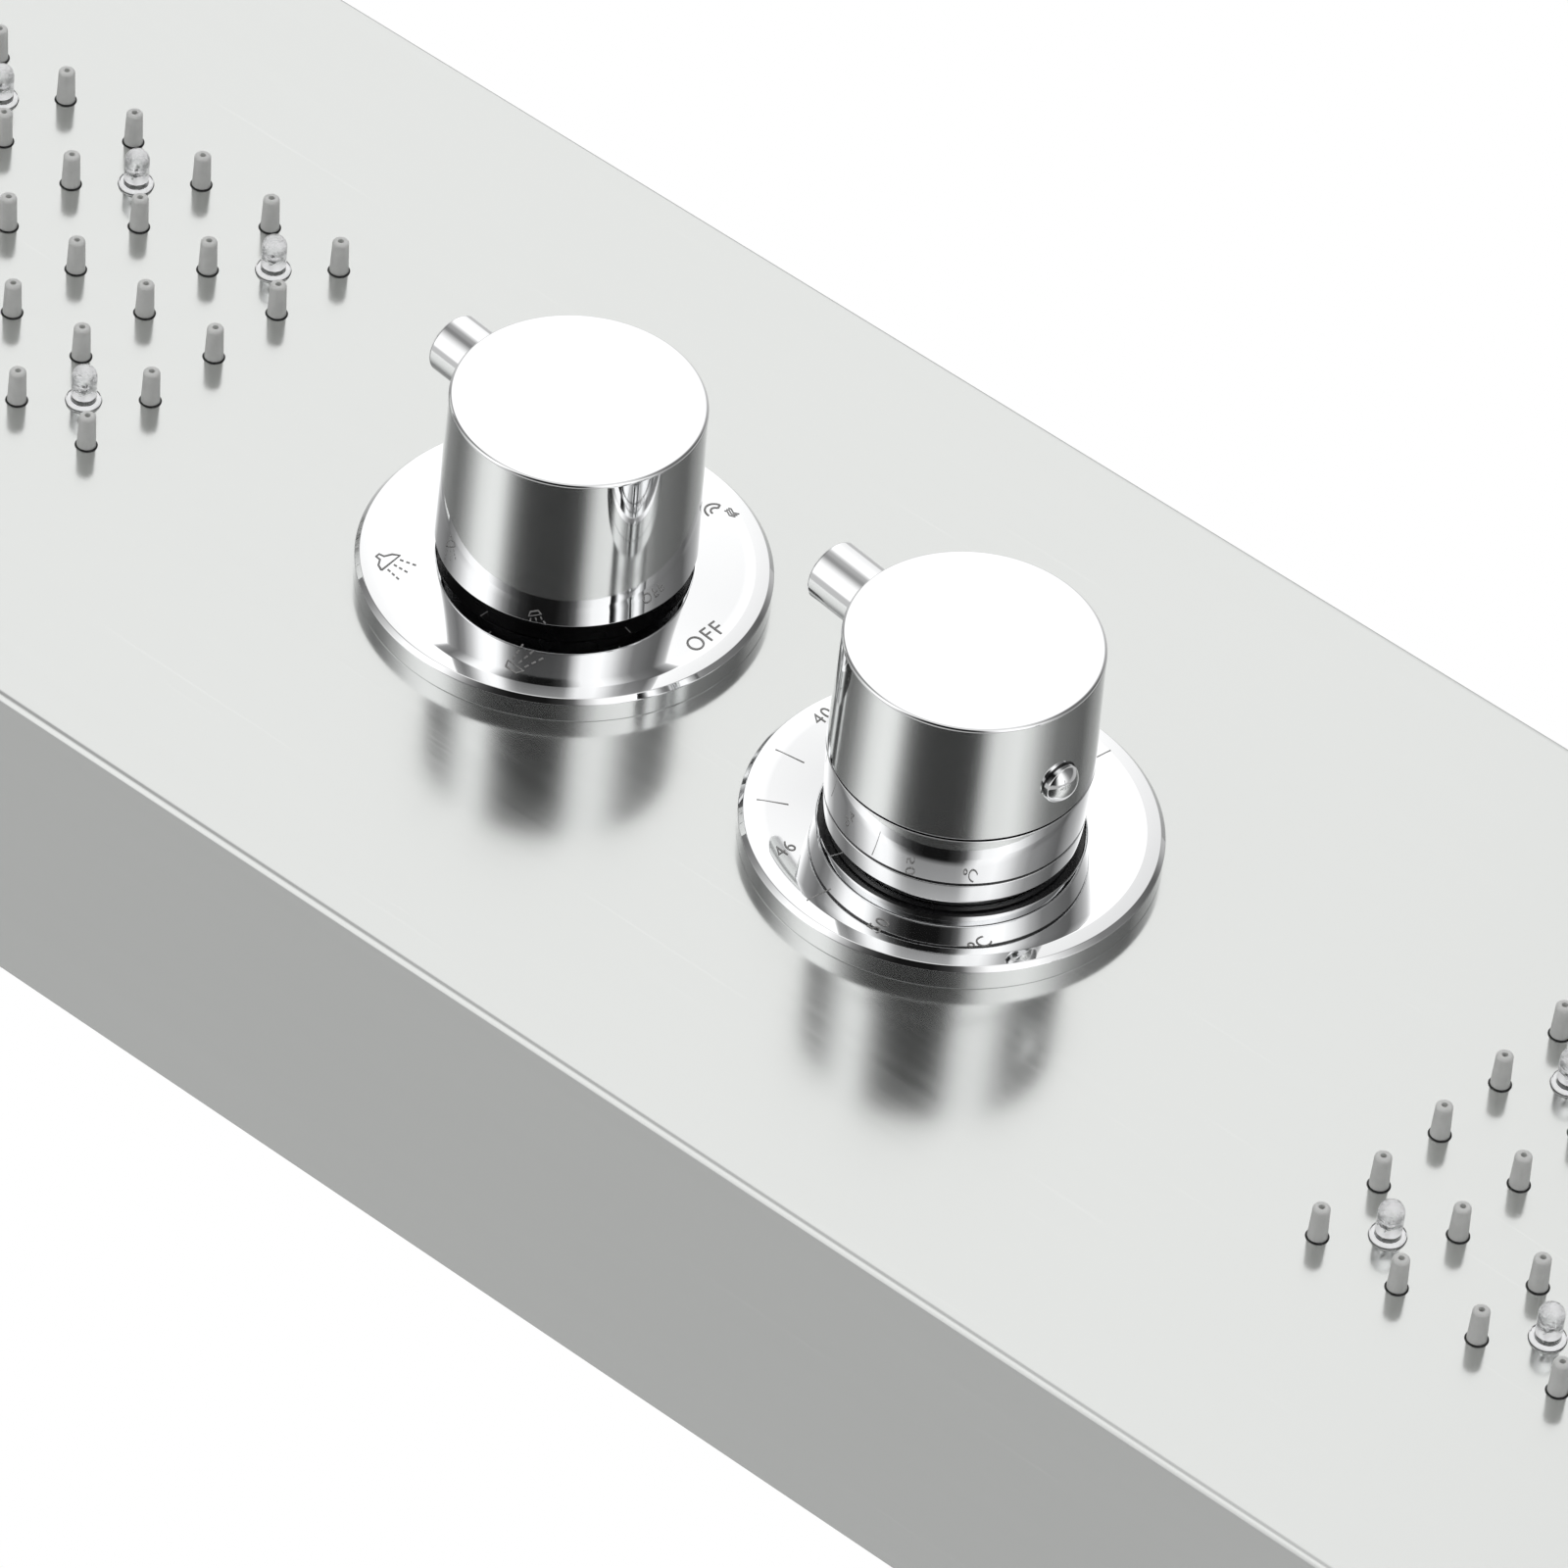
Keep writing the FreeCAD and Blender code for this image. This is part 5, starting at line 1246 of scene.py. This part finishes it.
@dataclass
class Studio:
    """The camera, the soft light round the object and the pale floor."""

    camera_place: Place = (-1.23431, -1.47801, -1.63671)
    camera_forward: Place = (0.59228274, 0.68327377, 0.42701066)
    camera_down: Place = (-0.48683892, 0.72576677, -0.48605603)
    lens: float = 252.96
    floor_level: float = -2.05
    floor_size: float = 14.0
    # brightness of the studio round the front's axis: (degrees from +X towards +Z, level)
    round_front: tuple[tuple[float, float], ...] = (
        (0, 0.68), (12, 0.81), (24, 0.98), (30, 1.06), (50, 1.06), (60, 0.85), (72, 0.61),
        (97, 0.45), (108, 0.55), (120, 0.79), (132, 1.03), (144, 1.1), (152, 1.08), (157, 1.0),
        (163, 0.78), (169, 0.54), (176, 0.33), (184, 0.19), (194, 0.11), (214, 0.11), (224, 0.22),
        (230, 0.38), (237, 0.8), (244, 1.02), (264, 1.09), (276, 0.96), (290, 0.68), (302, 0.49),
        (326, 0.4), (337, 0.38), (349, 0.57))
    ahead: float = 0.9
    # brightness behind the front: (below, above)
    behind: Point = (0.6808, 0.777)

    def camera(self) -> None:
        """Places the camera as the photograph was taken."""
        data = bpy.data.cameras.new("camera")
        data.sensor_width = 36.0
        data.lens = self.lens
        data.clip_start, data.clip_end = 0.1, 100.0
        camera = bpy.data.objects.new("camera", data)
        forward, down = Vector(self.camera_forward), Vector(self.camera_down)
        right = down.cross(forward)
        turn = Matrix((right, -down, -forward)).transposed().to_4x4()
        camera.matrix_world = Matrix.Translation(self.camera_place) @ turn
        bpy.context.scene.collection.objects.link(camera)
        bpy.context.scene.camera = camera

    def world(self) -> None:
        """A studio of soft panels: bright and dark sectors round the front, grey behind."""
        world = bpy.data.worlds.new("studio")
        world.use_nodes = True
        world.node_tree.nodes.clear()
        tree = NodeTree(world.node_tree)
        direction = tree.add("SeparateXYZ")
        tree.join(tree.add("TexCoord").outputs["Generated"], direction.inputs[0])
        x, y, z = direction.outputs
        turn = tree.math("FRACT", tree.math("ADD", tree.math(
            "DIVIDE", tree.math("ARCTAN2", z, x), math.tau), 1.0))
        stops = [(angle / 360.0, light(level)) for angle, level in self.round_front]
        stops.append((1.0, light(self.round_front[0][1])))
        sectors = tree.ramp(turn, stops)
        frontness = tree.math("MULTIPLY", y, -1.0)
        front = tree.mix(tree.remap(frontness, 0.8, 0.97, smooth=True), sectors, light(self.ahead))
        rear = tree.mix(tree.remap(z, -0.8, 0.8), *(light(level) for level in self.behind))
        around = tree.mix(tree.remap(frontness, -0.05, 0.12, smooth=True), rear, front)
        lit = tree.feed(tree.add("Background"), Color=around)
        seen = tree.feed(tree.add("Background"), Color=(1.0, 1.0, 1.0, 1.0))
        tree.blend(tree.add("LightPath").outputs["Is Camera Ray"], lit, seen,
                   tree.add("OutputWorld").inputs["Surface"])
        bpy.context.scene.world = world

    def floor(self) -> None:
        """The pale floor below the column, seen from above only and left out of mirrored light."""
        shape = bmesh.new()
        bmesh.ops.create_grid(shape, x_segments=8, y_segments=8, size=self.floor_size / 2)
        shifted(shape, 0.0, 0.0, self.floor_level)
        mesh = bpy.data.meshes.new("floor")
        shape.to_mesh(mesh)
        shape.free()
        material = bpy.data.materials.new("pale_floor")
        material.use_nodes = True
        tree = NodeTree(material.node_tree)
        shader = material.node_tree.nodes["Principled BSDF"]
        marks = Blemish().place(tree, Vector=tree.add("TexCoord").outputs["Object"],
                                Cloud_Scale=1.2, Speckle_Scale=60.0)
        tree.feed(shader, Base_Color=tree.mix(marks.outputs["Clouds"], (0.86, 0.86, 0.86),
                                              (0.9, 0.9, 0.9)), Roughness=0.8)
        unseen = tree.math("MAXIMUM", tree.add("NewGeometry").outputs["Backfacing"],
                           tree.add("LightPath").outputs["Is Glossy Ray"])
        tree.blend(unseen, shader, tree.add("BsdfTransparent"),
                   material.node_tree.nodes["Material Output"].inputs["Surface"])
        mesh.materials.append(material)
        floor = bpy.data.objects.new("floor", mesh)
        bpy.context.scene.collection.objects.link(floor)

    def build(self) -> None:
        """Sets up the whole studio."""
        bpy.context.scene.view_settings.view_transform = "Standard"
        self.camera()
        self.world()
        self.floor()


# ---------------------------------------------------------------- the whole object


@dataclass
class Controls:
    """Both controls: plates, black rings, knobs and all their marks."""

    diverter: Point = (0.0, -690.0)
    thermostat: Point = (-3.2, -788.4)
    diverter_hole: float = 24.6
    thermostat_hole: float = 25.2
    plate_top: float = 5.4
    raised: tuple[Point, ...] = ((11.5, 0.0), (10.5, 0.04), (9.5, 0.13), (0.5, 1.05),
                                 (0.15, 1.05), (0.0, 0.9))
    dished: tuple[Point, ...] = ((11.0, 0.0), (10.2, -0.04), (9.4, -0.12), (0.4, -1.05),
                                 (0.0, -1.25))
    # signs and words: (what, angle, radius)
    signs: tuple[tuple[Pictogram, float, float], ...] = (
        (Pictogram.SPOUT, 68.5, 33.6), (Pictogram.HAND, 134.5, 33.0),
        (Pictogram.OVERHEAD, 229.0, 33.0), (Pictogram.BODY, 296.2, 30.6))
    sign_scale: float = 1.15
    words: tuple[tuple[str, float, float], ...] = (
        ("40", 173.2, 35.2), ("46", 239.3, 33.0), ("50", 285.1, 32.8), ("C", 319.5, 33.0))
    word_size: float = 4.2
    ticks: tuple[float, ...] = (75.0, 194.6, 217.2, 262.0)
    tick: Stroke = Stroke(((0.0, 30.6), (0.0, 36.6)), 0.26)

    def build(self) -> None:
        """Makes both controls."""
        self._diverter()
        self._thermostat()

    def _diverter(self) -> None:
        """The diverter: OFF and four outlet signs round its knob."""
        plate = CoverPlate("diverter", *self.diverter, self.diverter_hole, flare=self.raised)
        plate.build()
        writer = MarkWriter(self.plate_top)
        shapes = [writer.word("OFF", 4.9, around(3.0, 33.7))]
        shapes += [writer.stroke(stroke.scaled(self.sign_scale), around(angle, radius))
                   for sign, angle, radius in self.signs for stroke in sign.strokes()]
        plate.mark(shapes, "plate_signs")
        BlackRing("diverter", *self.diverter, self.diverter_hole, marks=(266.0, 345.0)).build()
        Knob("diverter", *self.diverter, Body.DIVERTER, bottom=10.4, top=45.4, lever_end=34.6,
             rest_angle=-6.5).build()

    def _thermostat(self) -> None:
        """The thermostat: its scale in degrees, knob, sleeve and stop button."""
        plate = CoverPlate("thermostat", *self.thermostat, self.thermostat_hole,
                           flare=self.dished)
        plate.build()
        writer = MarkWriter(self.plate_top)
        shapes = [writer.word(text, self.word_size, around(angle, radius))
                  for text, angle, radius in self.words]
        degree = Stroke(arc_points((-2.2, 1.2), 0.55, 0.0, 360.0, 16), 0.36)
        shapes.append(writer.stroke(degree, around(*self.words[-1][1:])))
        shapes += [writer.stroke(self.tick, (0, 0), angle + 180.0) for angle in self.ticks]
        plate.mark(shapes, "plate_scale")
        BlackRing("thermostat", *self.thermostat, self.thermostat_hole, flange=0.35,
                  marks=(244.0,)).build()
        Knob("thermostat", *self.thermostat, Body.THERMOSTAT, bottom=23.6, top=50.5,
             lever_end=37.6, rest_angle=-7.0).build()
        Sleeve("thermostat", *self.thermostat).build()
        StopButton("thermostat", *self.thermostat, rest_angle=-7.0).build()


def main() -> None:
    """Builds the studio and every piece, in order."""
    logging.basicConfig(level=logging.INFO, format="%(name)s %(message)s")
    for left_over in list(bpy.data.objects):
        bpy.data.objects.remove(left_over)
    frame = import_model()
    Studio().build()
    Column().dress(frame["nodes"])
    Controls().build()
    for name, y in (("upper", -554.7), ("lower", -947.3)):
        Lamps(name, 0.0, y).build()
        NozzleShadowRings(name, 0.0, y).build()


if __name__ == "__main__":
    main()
